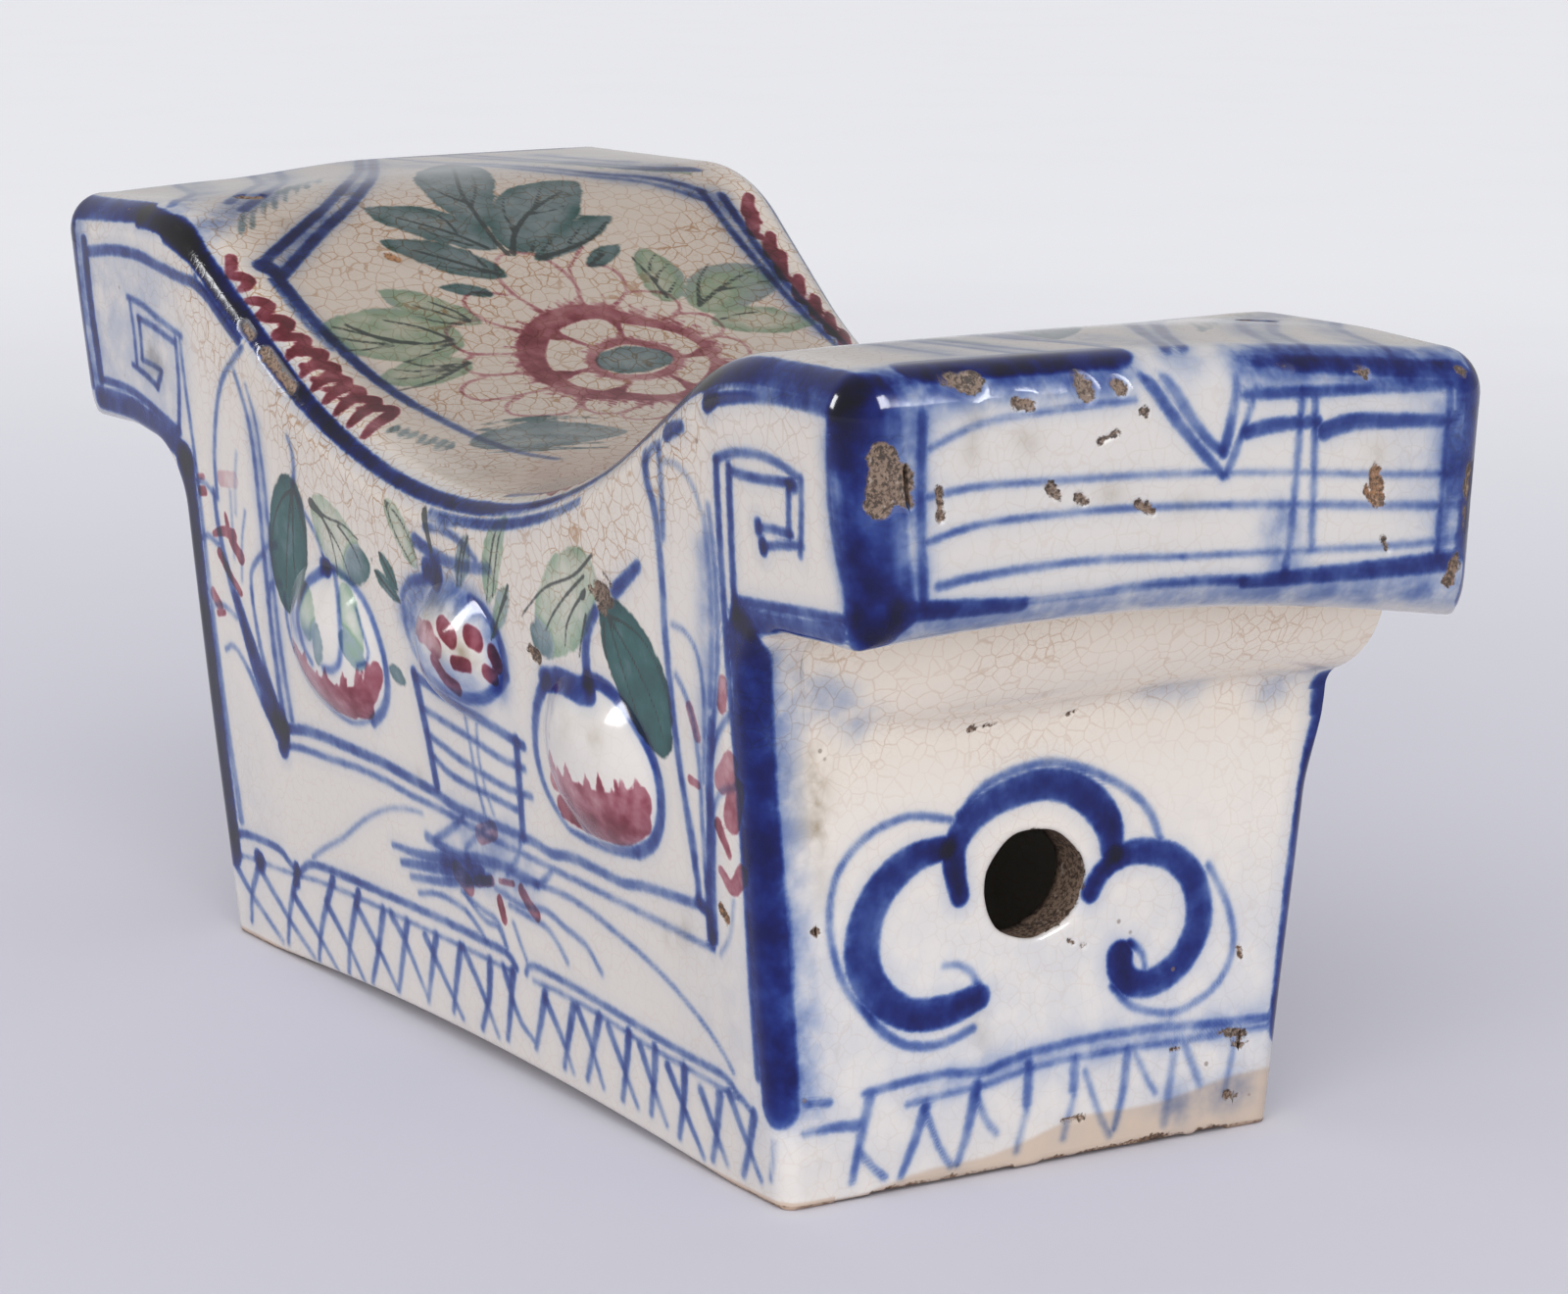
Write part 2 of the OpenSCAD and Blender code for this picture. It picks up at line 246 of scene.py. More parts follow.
    def cast(self, x: Array, y: Array) -> Array:
        """Carry points of the top's painting from a plainer sketch, along the painter's line of sight.

        Args:
            x: Places along the sketch.
            y: Places across it.

        Returns:
            Points on the saddle.
        """
        sketch = Form(
            foot_depth=92.0, wall_lean=math.radians(5.2), dips=(98.0, 106.0), bowls=(150.0, 104.0),
            crests=(22.0, 22.0), climbs=(math.radians(34), math.radians(34)), saddle_shift=4.5, crown=2.5,
            front_tops=(142.0, 137.0), back_tops=(144.0, 133.5), eye=(668.58, -385.74, 214.97))
        ray = np.stack([x, y, sketch.ruled(x, y, True)], 1) - sketch.eye
        near, far = np.full(len(x), 0.95), np.full(len(x), 1.05)
        for _ in range(30):
            share = (near + far) / 2
            at = self.eye + share[:, None] * ray
            above = at[:, 2] > self.ruled(at[:, 0], at[:, 1], True)
            near, far = np.where(above, share, near), np.where(above, far, share)
        return at

    def end_tone(self, z: Array) -> Array:
        """Give the glaze's buff, crackle and warm tone on the ends at height z, with painted light that makes
        the roll and the wall below it warmer and brighter.
        """
        roll = smooth(62, 80, z) * (1 - smooth(93, 97, z))
        low = 1 - smooth(2, 20, z)
        lit = smooth(30, 62, z) * (1 - smooth(93, 97, z))
        head = smooth(93, 97, z)
        # Painted light: the band from 30 to 62 mm up and the roll turn warmer and brighter; the rest of this
        # tone is the glaze's own.
        warmth_and_light = (0.3 + 0.3 * lit + 0.4 * roll + 0.1 * low) * (1 - head)
        return np.stack([0.02 + 0.08 * low + 0.26 * head, 0.15 + 0.35 * roll, warmth_and_light], 1)

    def side_tone(self, x: Array, z: Array, side: int) -> Array:
        """Give the glaze's buff, crackle and warm tone on a long wall, taking the ends' tone and painted
        light near its corners.
        """
        past = np.abs(x - self.body_mid)
        saddle = 1 - smooth(86, 112, past)
        near = (1 - smooth(3, 36, self.edge_z(x, side) - z)) * (0.35 + 0.65 * saddle)
        tone = np.stack([0.18 + 0.18 * near, 0.14 + 0.86 * near, 0.35 + 0.35 * near], 1)
        turn = smooth(self.half_body - 16, self.half_body - 2, past) * (z < self.head_under + 3)
        return tone + (self.end_tone(z) - tone) * turn[:, None]

    def settle(self, at: Array) -> Array:
        """Warp points as the kiln does: bowed heads and slightly wavy slabs.

        Args:
            at: Points of a true slab.

        Returns:
            The points after firing, still inside the true slabs' box.
        """
        x, y, z = at.T
        rise = smooth(2.0, 45.0, z)
        past = np.abs(x - self.body_mid)
        head = smooth(self.half_body - 2, self.half_body + 24, past)
        low = 1 - smooth(self.head_under, self.head_under + 34, z)
        bow = np.where(x > 0, 1.6 - 3.4 * ((y + 12) / 58) ** 2 - 0.018 * y, 1.4 - 0.03 * y)
        dz = head * low * bow - 0.4 * smooth(50, 110, z) * (1 + np.sin(x / 29 + 0.6) * np.sin(y / 25 + 0.4))
        wave = 0.4 + 0.4 * np.sin(x / 33 + 1.1) * np.sin(z / 27 + 0.3)
        dy = -np.sign(y) * smooth(20, 50, np.abs(y)) * rise * wave
        dx = -rise * np.sign(x) * (0.45 + 0.45 * np.sin(y / 19 + z / 31)) * smooth(60, 130, past)
        sag = 1.7 * smooth(96, 144, -x) * (1 - smooth(-28, 4, y))
        sag = sag + smooth(116, 144, x) * smooth(0, 50, y)
        dz = dz - smooth(60, 120, z) * sag
        return at + np.stack([dx, dy, dz], 1)


class Ink(Enum):
    """What a brush or a mishap leaves on the glaze."""

    COBALT = "cobalt"
    WASH = "wash"
    RED = "red"
    VEIN = "vein"
    LEAF = "leaf"
    CHIP = "chip"
    STAIN = "stain"


@dataclass(frozen=True)
class Stroke:
    """One mark of a brush: a path in space with a half width and a load at each point."""

    ink: Ink
    path: Array
    half: Array
    load: Array

    def reach(self, at: Array) -> tuple[Array, Array]:
        """Measure how far points lie from the mark.

        Args:
            at: Points near the mark.

        Returns:
            Signed distance to the mark's edge, and the load at the nearest place.
        """
        best = np.full(len(at), 1e3)
        load = np.zeros(len(at))
        step = 12
        for k in range(0, len(self.path) - 1, step):
            b = self.path[k + 1:k + step + 1]
            a = self.path[k:k + len(b)]
            low = np.minimum(a.min(0), b.min(0)) - self.half.max() - Painting.margin
            high = np.maximum(a.max(0), b.max(0)) + self.half.max() + Painting.margin
            near = np.flatnonzero(((at >= low) & (at <= high)).all(1))
            if not near.size:
                continue
            run = b - a
            off = at[near][:, None, :] - a
            t = np.clip((off * run).sum(2) / np.maximum((run * run).sum(1), 1e-9), 0, 1)
            gap = np.sqrt(((off - t[..., None] * run) ** 2).sum(2))
            n = len(b)
            gap -= self.half[k:k + n] + t * (self.half[k + 1:k + 1 + n] - self.half[k:k + n])
            pick = gap.argmin(1)
            row = np.arange(near.size)
            mine = gap[row, pick]
            weight = t[row, pick]
            carried = self.load[k + pick] * (1 - weight) + self.load[k + 1 + pick] * weight
            better = mine < best[near]
            best[near[better]] = mine[better]
            load[near[better]] = carried[better]
        return best, load


def through(points: Sequence[complex] | Array, step: float, sharp: bool) -> Array:
    """Run a path through chosen points.

    Args:
        points: The points in order, as along + up * 1j, or as rows of an array.
        step: Spacing of the path's own points.
        sharp: Straight runs instead of a smooth curve.

    Returns:
        The path as an array of points.
    """
    p = np.asarray(points)
    p = np.stack([p.real, p.imag], 1) if np.iscomplexobj(p) else p
    if len(p) == 2 or sharp:
        runs = [p[k] + (p[k + 1] - p[k]) * np.linspace(0, 1, 1 + int(
            max(np.hypot(*(p[k + 1] - p[k])) / step, 1)))[:, None] for k in range(len(p) - 1)]
        return np.concatenate([runs[0]] + [run[1:] for run in runs[1:]])
    q = np.concatenate([[2 * p[0] - p[1]], p, [2 * p[-1] - p[-2]]])
    out = [p[:1]]
    for k in range(1, len(q) - 2):
        t = np.linspace(0, 1, 2 + int(np.hypot(*(q[k + 1] - q[k])) / step))[1:, None]
        a, b, c, d = q[k - 1:k + 3]
        out.append(0.5 * (2 * b + (c - a) * t + (2 * a - 5 * b + 4 * c - d) * t ** 2
                          + (3 * b - a - 3 * c + d) * t ** 3))
    return np.concatenate(out)


@dataclass
class Painting:
    """All marks on the pillow, and what they leave at any point of its skin."""

    form: Form
    strokes: list[Stroke] = field(default_factory=list)
    margin = 5.0
    face: Face = Face.FRONT
    strength: float = 1.0

    def on(self, face: Face) -> Painting:
        """Choose the face that the next marks lie on."""
        self.face = face
        return self

    def mark(self, ink: Ink, width: Run, load: Run, *points: complex,
             sharp: bool = False, leaf: bool = False) -> None:
        """Lay one mark on the chosen face.

        Args:
            ink: What the mark is made with.
            width: Width in millimetres, or a run of widths.
            load: Strength, or a run of strengths.
            *points: Flat points that the mark runs through, as along + up * 1j.
            sharp: Straight runs between the points.
            leaf: Swell from a point to the full width and back.
        """
        flat = through(points, 1.2, sharp)
        path = self.form.place(self.face, flat)
        self.lay(ink, path, width, load, leaf)

    def lay(self, ink: Ink, path: Array, width: Run, load: Run, leaf: bool = False) -> None:
        """Lay one mark along a path in space.

        Args:
            ink: What the mark is made with.
            path: Points of the path.
            width: Width in millimetres, or a run of widths.
            load: Strength, or a run of strengths.
            leaf: Swell from a point to the full width and back.
        """
        along = np.concatenate([[0], np.cumsum(np.linalg.norm(np.diff(path, axis=0), axis=1))])
        t = along / max(along[-1], 1e-6)
        half, load = spread(width, t) / 2, spread(load, t)
        if ink is Ink.COBALT:
            bold = smooth(0.6, 2.0, half)
            half, load = half * (1.02 - 0.02 * bold), load * self.strength * (0.6 + 0.4 * bold)
        if leaf:
            half = half * np.sin(np.pi * np.clip(t, 0.012, 0.988) ** 0.9) ** 0.68
        self.strokes.append(Stroke(ink, path, half, load))

    def blue(self, width: Run, load: Run, *points: complex, sharp: bool = False) -> None:
        """Lay a cobalt line."""
        self.mark(Ink.COBALT, width, load, *points, sharp=sharp)

    def red(self, width: Run, load: Run, *points: complex) -> None:
        """Lay a red enamel dab."""
        self.mark(Ink.RED, width, load, *points)

    def leaf(self, width: float, shade: Run, *points: complex) -> None:
        """Lay one leaf of green enamel from its stalk to its tip."""
        self.mark(Ink.LEAF, width, shade, *points, leaf=True)

    def vein(self, *points: complex, width: float = 0.55) -> None:
        """Draw one dark hairline."""
        self.mark(Ink.VEIN, (width, width * 0.6), 1.0, *points)

    def fields(self, at: Array) -> dict[str, Array]:
        """Work out what the marks leave at points of a skin.

        Args:
            at: Points of the skin before the kiln warp.

        Returns:
            Vector attributes by name.
        """
        n = len(at)
        far = self.margin
        gap = {ink: np.full(n, far) for ink in Ink}
        union = {ink: np.zeros(n) for ink in Ink}
        total = {ink: np.zeros(n) for ink in Ink}
        low, high = at.min(0), at.max(0)
        for stroke in self.strokes:
            room = stroke.half.max() + far
            if (stroke.path.max(0) + room < low).any() or (stroke.path.min(0) - room > high).any():
                continue
            near = np.flatnonzero(
                ((at > stroke.path.min(0) - room) & (at < stroke.path.max(0) + room)).all(1))
            if not near.size:
                continue
            edge, load = stroke.reach(at[near])
            soft = 1.1 if stroke.ink in (Ink.WASH, Ink.STAIN) else 0.3
            cover = 1 / (1 + np.exp(np.clip(edge / soft, -40, 40)))
            ink = stroke.ink
            gap[ink][near] = np.minimum(gap[ink][near], edge)
            pull = {Ink.RED: 4.0, Ink.LEAF: -5.0}.get(ink)
            if pull is None:
                union[ink][near] = 1 - (1 - union[ink][near]) * (1 - cover)
                total[ink][near] += load * cover
            else:
                union[ink][near] += cover * np.exp(pull * load)
                total[ink][near] += load * cover * np.exp(pull * load)
        mean = {
            ink: np.where(union[ink] > 1e-12, total[ink] / np.maximum(union[ink], 1e-12), 0) for ink in Ink}
        return {
            "cobalt": np.stack([gap[Ink.COBALT], mean[Ink.COBALT], total[Ink.WASH]], 1),
            "enamel": np.stack([gap[Ink.RED], mean[Ink.RED], gap[Ink.VEIN]], 1),
            "leaf": np.stack([gap[Ink.LEAF], mean[Ink.LEAF], total[Ink.STAIN]], 1),
            "chip": np.stack([gap[Ink.CHIP], mean[Ink.CHIP], 0 * at[:, 0]], 1),
        }


class FrontPainting:
    """Brushwork of a long wall: frets on the heads, frames, fruit sprays, a stand and a crossed border."""

    def __init__(self, art: Painting, face: Face) -> None:
        """Lay every mark of one long wall.

        Args:
            art: The painting that takes the marks.
            face: The front or the back.
        """
        self.art = art.on(face)
        self.heads()
        self.columns()
        self.frames()
        self.border()
        self.left_peach()
        self.pomegranate()
        self.right_peach()
        self.stand()
        self.tassel()

    def heads(self) -> None:
        """Bands and square frets on the two heads, and painted shade over the left head's face."""
        blue, wash = self.art.blue, self.art.mark
        self.art.strength = 1.35
        for row in (
            (5.2, (0.8, 0.95), -144+98.8j, -125+97.9j, -109+96.2j, -103.5+92.5j),
            ((1.9, 2.2), (1.1, 0.9), -142+103j, -125+101.9j, -113+100.2j, -106+98.7j),
            (3, 1.3, -142.6+133j, -142.9+118j, -142.4+103j),
            (2.4, 1.6, -147.6+136j, -148.2+118j, -147.4+101j),
        ):
            blue(*row)
        wash(Ink.WASH, 5, 0.5, -145.5+133j, -145.5+102j)
        for row in (
            (2.3, 1, -141+131.2j, -130+132j, -118+131.7j, -108+130.2j, -98+129j, -92+128.6j, -86+126.5j,
             -80+123j, -74+119.8j),
            (1.5, 0.8, -124.5+123j, -118+122j, -110+119.8j, -100.3+117.6j),
            (1.5, 0.85, -120.3+119.2j, -113+118j, -104+116j),
            (1.5, 0.6, -123.6+123j, -123.2+116j, -123.6+108.6j),
            (1.5, 0.9, -120.2+119j, -120.1+115j, -120.6+110.4j),
            (1.5, 0.9, -125.6+108.3j, -119+107.2j, -114.4+106j), ((1.9, 1.3), 1, -114.6+106j, -111.6+109.6j),
            (1.2, 0.8, -121+110.4j, -116+110.2j, -112+109.8j),
            (1.7, 0.8, -103.2+116.6j, -104+108j, -106.2+99j),
            (1.5, 0.6, -101.3+117.4j, -101+108j, -100.2+99j, -99.4+88j),
            (2.2, 0.95, 134+130.8j, 120+131.1j, 110+130.4j, 102+129.2j, 98+128.3j),
            ((3.4, 2.6), 1.1, 97.6+128j, 100+129j), ((3, 2.2), 0.95, 84+121.8j, 89+123.4j),
            (1.6, 0.7, 98.8+119.6j, 104+121.2j, 112+121.9j, 119+121j, 123+119.8j),
            (1.6, 0.75, 123.6+119.8j, 122.8+114j, 121.6+108j),
            (1.5, 0.9, 122.4+109.4j, 117+108.9j, 111.4+108j), (2.6, 1.1, 111+107.6j, 110.9+108.4j),
            (1.6, 0.95, 102.6+118.4j, 110+118.2j, 121+118.8j), (2.6, 1, 120.4+118.4j, 121.4+118.4j),
            (1.6, 0.95, 119.8+118.4j, 119.2+114j, 118.9+110.6j),
            (1.5, 0.95, 119.6+110.8j, 114+111j, 110.4+110.7j), (2.4, 1.1, 110+110.4j, 110+111.2j),
            (1.9, 0.85, 98.9+119.4j, 98.2+110j, 97.8+100j, 97.5+85j, 97.9+70j, 97.7+52j, 97+36j, 96.6+21j),
            (1.9, 0.95, 102.6+119j, 101.8+110j, 101.2+103j, 101+96j),
            (1.8, 1, 101+98.4j, 112+98.8j, 125+99.3j, 134+99.7j),
            ((4.6, 3.6), (0.75, 0.55), 101.5+95.8j, 110+95.8j, 120+96.2j, 131+97.6j),
            (1.3, 1, 103+93.3j, 115+93.5j, 122+94.2j, 131+96.2j),
            (1.6, 0.75, 133+130.6j, 131.4+120j, 131.5+113j, 133+106j, 135.4+100.4j),
        ):
            blue(*row)
        wash(Ink.WASH, 5, 0.75, 135.4+130j, 134.4+118j, 135.6+104j)
        wash(Ink.STAIN, 3.6, 0.75, -117+112.6j, -112+110.6j)
        wash(Ink.STAIN, 1.6, 0.5, -119+108.4j, -117+107.8j)
        # Painted shade: three faint, wide cobalt washes darken and cool the left head's face, as if it stood
        # further from the light.
        for width, z in ((44, 116), (36, 114), (26, 116)):
            wash(Ink.WASH, width, 0.03, complex(-146, z), complex(-118, z))
        self.art.strength = 1.0

    def columns(self) -> None:
        """Flower stems in the side columns, with red dabs."""
        blue, red = self.art.blue, self.art.red
        for row in (
            ((5, 6.2), (1.15, 1.05), -103.4+94j, -103.8+85j, -103+75j, -102.2+60j, -101.6+45j, -101.3+30j,
             -100.6+19j),
            ((1.6, 2.6), (0.5, 0.45), -99.4+90j, -98.8+70j, -98+55j, -97+40j, -96+30j, -95.6+24j),
            (1.6, 0.75, -91+88j, -90.6+95j, -88.6+102j, -86+107.5j, -83+111.5j, -79+114.5j, -72.5+118.4j),
            ((1.6, 2.2), 0.75, -77+113.4j, -73.6+107j, -72+100j, -71.8+85j, -72+70j, -71.6+60j, -70.6+49j),
            ((1.2, 1.8), 0.5, -72.4+111.6j, -69.6+105j, -68.6+95j, -68.8+80j, -69+70j, -68.4+60j, -66.8+49j),
        ):
            blue(*row)
        self.art.mark(Ink.WASH, 3.4, 0.28, -70.6+104j, -70.2+85j, -70.3+66j, -69+50j)
        for row in (
            ((1.8, 3.4), 0.85, -92.5+89j, -91.6+81j, -89+73j, -86+66.5j, -82.5+60j),
            ((3.4, 7.6), (0.95, 1.2), -86.6+69j, -83+62j, -79.6+56j, -76+50.6j, -72.4+46.6j),
            ((1.4, 2.4), 0.8, -79.4+72j, -78.8+66j, -76.8+58j, -73.4+51j),
            (1.5, 0.75, -102+78j, -99+79.3j, -96+79.6j, -92.6+78.4j),
            (1.3, 0.7, -92.6+88.4j, -96+90j, -100+90.2j), (1.3, 0.6, -97+66j, -94+66.6j, -90+66j, -87.6+65j),
            ((1.3, 2), (0.6, 0.9), -94+57.8j, -91+59j, -88+58.2j, -84+55j, -80+50.4j, -76+46.6j),
            (1.5, 0.7, -79.2+70j, -78.6+75j, -75.6+78j, -72+80j, -70+81.6j, -66+82.4j),
            (1.4, 0.7, -71.8+67j, -71.4+72j, -69.4+74.6j, -65.6+75.2j),
            (1, 0.35, -84.6+90j, -85.2+84j, -85.8+77j), (1, 0.5, -78.6+87j, -81.4+81j, -83.2+73j),
            (0.9, 0.25, -80+98j, -82+92j, -83+86j),
        ):
            blue(*row)
        for row in (
            (2, 0.85, -98.8+88.2j, -96.6+88.4j), (1.3, 0.6, -99+91j, -96.6+91.2j),
            ((1.4, 2.8), 0.75, -94.4+80.4j, -90+81.6j, -85+81.4j),
            ((1.4, 3.2), 0.8, -88+85j, -86.6+80.6j, -82.6+77.6j),
            ((2.4, 1.8), 0.9, -92.4+77j, -88.6+73.4j, -84.4+70.4j), (2.8, 0.7, -97.4+68.2j, -94.8+66.2j),
            (1.4, 0.75, -96+64.6j, -92.8+65.2j), (3.4, 0.16, -88.4+92j, -82+92.6j),
        ):
            red(*row)
        for row in (
            (2.1, 0.9, 76.6+117.4j, 76.9+113j, 78.5+109j, 79+100j, 78.6+90j, 78.8+80j, 79.5+70j, 81+60j,
             82.5+50j, 82.6+46j),
            (1.7, 0.8, 76.4+115.4j, 79+118.6j, 81.6+119.6j), (1.7, 0.75, 81.4+119j, 81.2+112j, 80.4+105j),
            (1, 0.35, 82+117.2j, 87+117j, 91+114.6j, 93+111j),
            (1.5, (0.5, 0.75), 95.3+112j, 95.8+104j, 95.5+97j, 94.4+88j, 92.4+80j, 90.4+72j, 88.4+64j,
             86.6+55j, 85.6+46j),
            (1.6, 0.35, 93.8+110j, 94+100j, 93+90j, 91+80j),
            (1.2, 0.55, 81+91.2j, 85+90.6j, 88+88j, 89.2+83j, 88.6+76j, 87+67j),
            (1.4, 0.6, 81+83j, 83.6+80j, 85.5+75j, 86+68j, 85.5+58j, 85.2+46j),
            ((2.4, 3.6), (0.6, 0.95), 91+77j, 89+68j, 88.4+60j, 87+52j, 86+41.6j),
            (1.2, 0.6, 80+66j, 82.6+56j, 82+47j), (1.4, 0.6, 89.6+71j, 93+76j, 97+79.6j, 100.4+80.2j),
            (1.2, 0.35, 89+62j, 92+66j, 97+68j), (0.9, 0.35, 93.6+49j, 91.6+43j, 88+39j),
        ):
            blue(*row)
        self.art.mark(Ink.WASH, 4.5, 0.2, 93+105j, 92+90j, 89+74j)
        for row in (
            (2.8, 0.55, 95.6+84.4j, 94.6+80.6j), (4.2, 0.36, 96+71.6j, 92.6+68j),
            (5, 0.7, 97+67.4j, 95+62.4j), ((2.6, 1.6), 0.9, 90.6+60.6j, 93.4+56.4j),
            ((1.8, 3.6), 0.65, 90.4+53.2j, 93.6+51j, 97+53.8j), (2.2, 0.5, 84.4+78.4j, 86.2+74j),
            (1.6, 0.55, 82.8+66.4j, 85.2+66j),
        ):
            red(*row)
        self.art.mark(Ink.CHIP, 1.3, 0.9, 89.3+47j, 91+45.4j)

    def frames(self) -> None:
        """Double line along the foot of the picture."""
        blue = self.art.blue
        for row in (
            ((2.2, 1.8), (0.95, 0.7), -72+46.3j, -66+47.2j, -60+47.9j, -50+48j, -40+47.8j, -30+47.6j,
             -20+46.8j, -10+46j, -4+45j, 5+44.6j, 25+44.5j, 32+43.7j, 40+44.6j, 50+44.3j, 57+44j, 65+45j,
             75+45.5j, 84+46j),
            ((1.5, 1.3), (0.75, 0.55), -73+42.3j, -68+43.5j, -62+44j, -52+44.2j, -40+44.6j, -30+44.4j,
             -20+43.6j, -10+43.2j, 0+42.6j, 10+41.8j, 20+41.5j, 35+41j, 50+40.6j, 60+40.3j, 75+39.8j,
             86+39.4j),
            (4.6, 1.3, -73.4+47j, -71+45.4j, -72+42.6j), (2.8, 1, 82.4+46.4j, 85.4+45j, 85.6+41j),
        ):
            blue(*row)
        self.art.mark(Ink.STAIN, 2, 0.6, 71.6+38.6j, 74+39.2j, 77+40.4j)
        self.art.mark(Ink.STAIN, 1.1, 0.5, -17.4+46.8j, -15.8+47.8j)

    def border(self) -> None:
        """Row of brushed crosses along the foot."""
        blue = self.art.blue
        for row in (
            (1.7, (1.1, 0.85), -101+19j, -96+21j, -88+21.6j, -79+21.4j, -75+19.8j, -71+18.6j, -67+20.8j,
             -62+21.8j, -50+22.2j, -30+22.4j, -10+22.5j, 5+22.2j, 13+21.8j, 16+20j),
            (1.5, 0.8, 19.5+20j, 22+21.8j, 35+21.6j, 45+21j, 60+19.9j, 75+19j, 86+18.5j, 90+16.5j, 94+14.6j),
            (1.1, 0.55, -100+16j, -92+16.8j, -80+17.3j, -70+18j, -60+18.8j, -40+19.2j, -20+19.2j, 0+19.2j,
             14+19j),
            (1.1, 0.55, 22+19.2j, 32+19.3j, 45+18.7j, 60+17.5j, 75+16.8j, 90+15.8j),
        ):
            blue(*row)
        blue(4.2, 1.25, -89.4+17.4j, -88.2+17j, sharp=True)
        blue(3, 1.2, -72+19.2j, -72.6+16.4j, sharp=True)
        falling = (
            (-88+18j, -94+10j, -96+3.6j), (-71.5+19j, -77+10j, -79.5+3j), (-56+20.5j, -63+10j, -66+2.6j),
            (-45.5+20j, -51+10j, -53+3j), (-35.5+19j, -39+11j, -43+3.6j), (-26+19j, -28+14j, -32+4.6j),
            (-14.5+19j, -17+13j, -20+5.6j), (-5+19j, -7.5+13j, -10+6j), (6+19j, 4.5+12j, 1+5.6j),
            (14.5+19j, 12.5+12j, 10.5+6j), (26+18j, 23+11j, 21+7j), (36+18j, 33+11j, 31+6j),
            (45+18.5j, 42+12j, 39+6j), (55+18j, 53+11j, 51+5.6j), (63.5+17.5j, 63+14j, 60.5+5.6j),
            (73+16.5j, 72+11j, 69.5+4j), (84+15j, 82+8j, 80+3j), (94.5+14.5j, 92+8j, 89.5+3j))
        rising = (
            (-101+14j, -94+9j, -82+2.6j), (-90+16j, -78+8j, -68+2.6j), (-74+13j, -65+7.5j, -58+2.6j),
            (-60+15j, -52+8.5j, -46.5+3j), (-47+17.5j, -39+11j, -32.5+4.6j), (-32.5+19j, -27+14.5j, -20+6j),
            (-19+18j, -14+13j, -6.5+5.6j), (-4+19j, 2+12.5j, 7+5.6j), (11+19j, 15.5+11j, 20.5+8j),
            (26+17j, 31+11j, 34+6j), (37.5+18j, 41+13j, 44.5+6j), (48+17.5j, 52+11.5j, 56+5.6j),
            (58.5+17j, 62+10.5j, 65.5+5j), (67.5+15.5j, 71.5+10j, 77+2.6j), (78+14j, 82+7.5j, 84.5+3.6j),
            (87+16j, 91.5+9j, 95+3.6j))
        for line in falling:
            blue((2.4, 1.5), (0.95, 0.7), *line)
        for line in rising:
            blue((2.2, 1.3), (0.85, 0.55), *line)
        blue(1, 0.5, 99.6+11j, 99+8j, 98+4.6j)

    def left_peach(self) -> None:
        """Peach with a cleft, its stalk and three leaves."""
        art = self.art
        for row in (
            ((1.6, 2.6), (0.8, 0.85), -44.5+81.6j, -40+81.3j, -34+79.5j, -29+76j, -25.6+70.5j, -24.4+66j,
             -25+61j, -28+57.2j, -32+54.8j),
            ((2.6, 1.4), (1, 0.7), -44.6+81j, -48+79.6j, -53+76.8j, -56.6+72.5j, -57.4+69j, -56+64.6j,
             -53+61.6j),
            ((1.4, 1), (0.75, 0.6), -64.6+73j, -64.2+67j, -61.6+62j, -57+57.6j, -50+54.6j, -44+53.2j,
             -38+53.4j, -32.6+55j),
            (1.7, (0.6, 0.65), -41.6+81j, -40.3+77j, -40.1+72j, -40.5+67j, -42+63.6j, -45+61.8j, -48.4+61.4j),
            (4, 1.1, -45.6+81.4j, -44.4+81.2j), (1.2, 0.65, -55.5+94.5j, -52.5+91j, -48+87j, -45.4+82.6j),
            ((1.2, 1.9), 0.8, -56+104j, -54.6+101.6j, -54.6+98j, -55.8+95j),
        ):
            art.blue(*row)
        art.mark(Ink.WASH, 1.4, 0.5, -60.4+71j, -60+68.4j, -58+67j, -53.6+67.4j)
        for row in (
            (4.6, 0.55, -49.8+69.4j, -49.8+65.6j, -50.6+61.6j),
            (7.2, 0.93, -55.4+76.4j, -53.4+71.6j, -53+66j),
            (7.8, 0.9, -38.2+79j, -36.6+74.4j, -34.8+70j, -33+66j),
            (6.4, 0.58, -40+69.2j, -36.4+66.6j, -32+65j),
        ):
            art.leaf(*row)
        art.blue(1, 0.7, -33.6+75.4j, -31.6+71j, -30.4+68j, -31.6+65.6j, -35+64.4j)
        art.red((3.4, 5.6), (0.5, 0.62), -61.4+63.6j, -57+60.2j, -52+57.8j, -46+56.6j, -40+56.6j)
        art.red((5.6, 4.4), (0.7, 0.6), -40+56.6j, -35+58.2j, -31+61j, -28+64.4j)
        art.red(5.4, 1, -37+57.2j, -33.6+57.6j)
        for x, z, up in (
            (-56.6, 60, 3.4), (-52, 58.4, 2.2), (-48.6, 57.6, 4.2), (-44.6, 57.4, 2), (-41.8, 57.4, 4.6),
            (-36, 58.6, 5.6), (-31.8, 60.8, 5.6), (-29.4, 62.8, 3),
        ):
            art.red((3.6, 2.4, 0.4), (0.6, 0.4), complex(x, z), complex(x + 0.8, z + up))
        for line in (
            (-38+55.6j, -43+57.4j, -48+60j), (-36+55.8j, -35.4+59.6j, -33.6+63.6j),
            (-40+55.4j, -40.8+58.6j, -40+61j),
        ):
            art.red((2.4, 0.6), (1, 0.7), *line)
        art.leaf(16.5, 0.12, -55.8+95j, -58.8+89j, -61.2+81j, -63.6+70.4j)
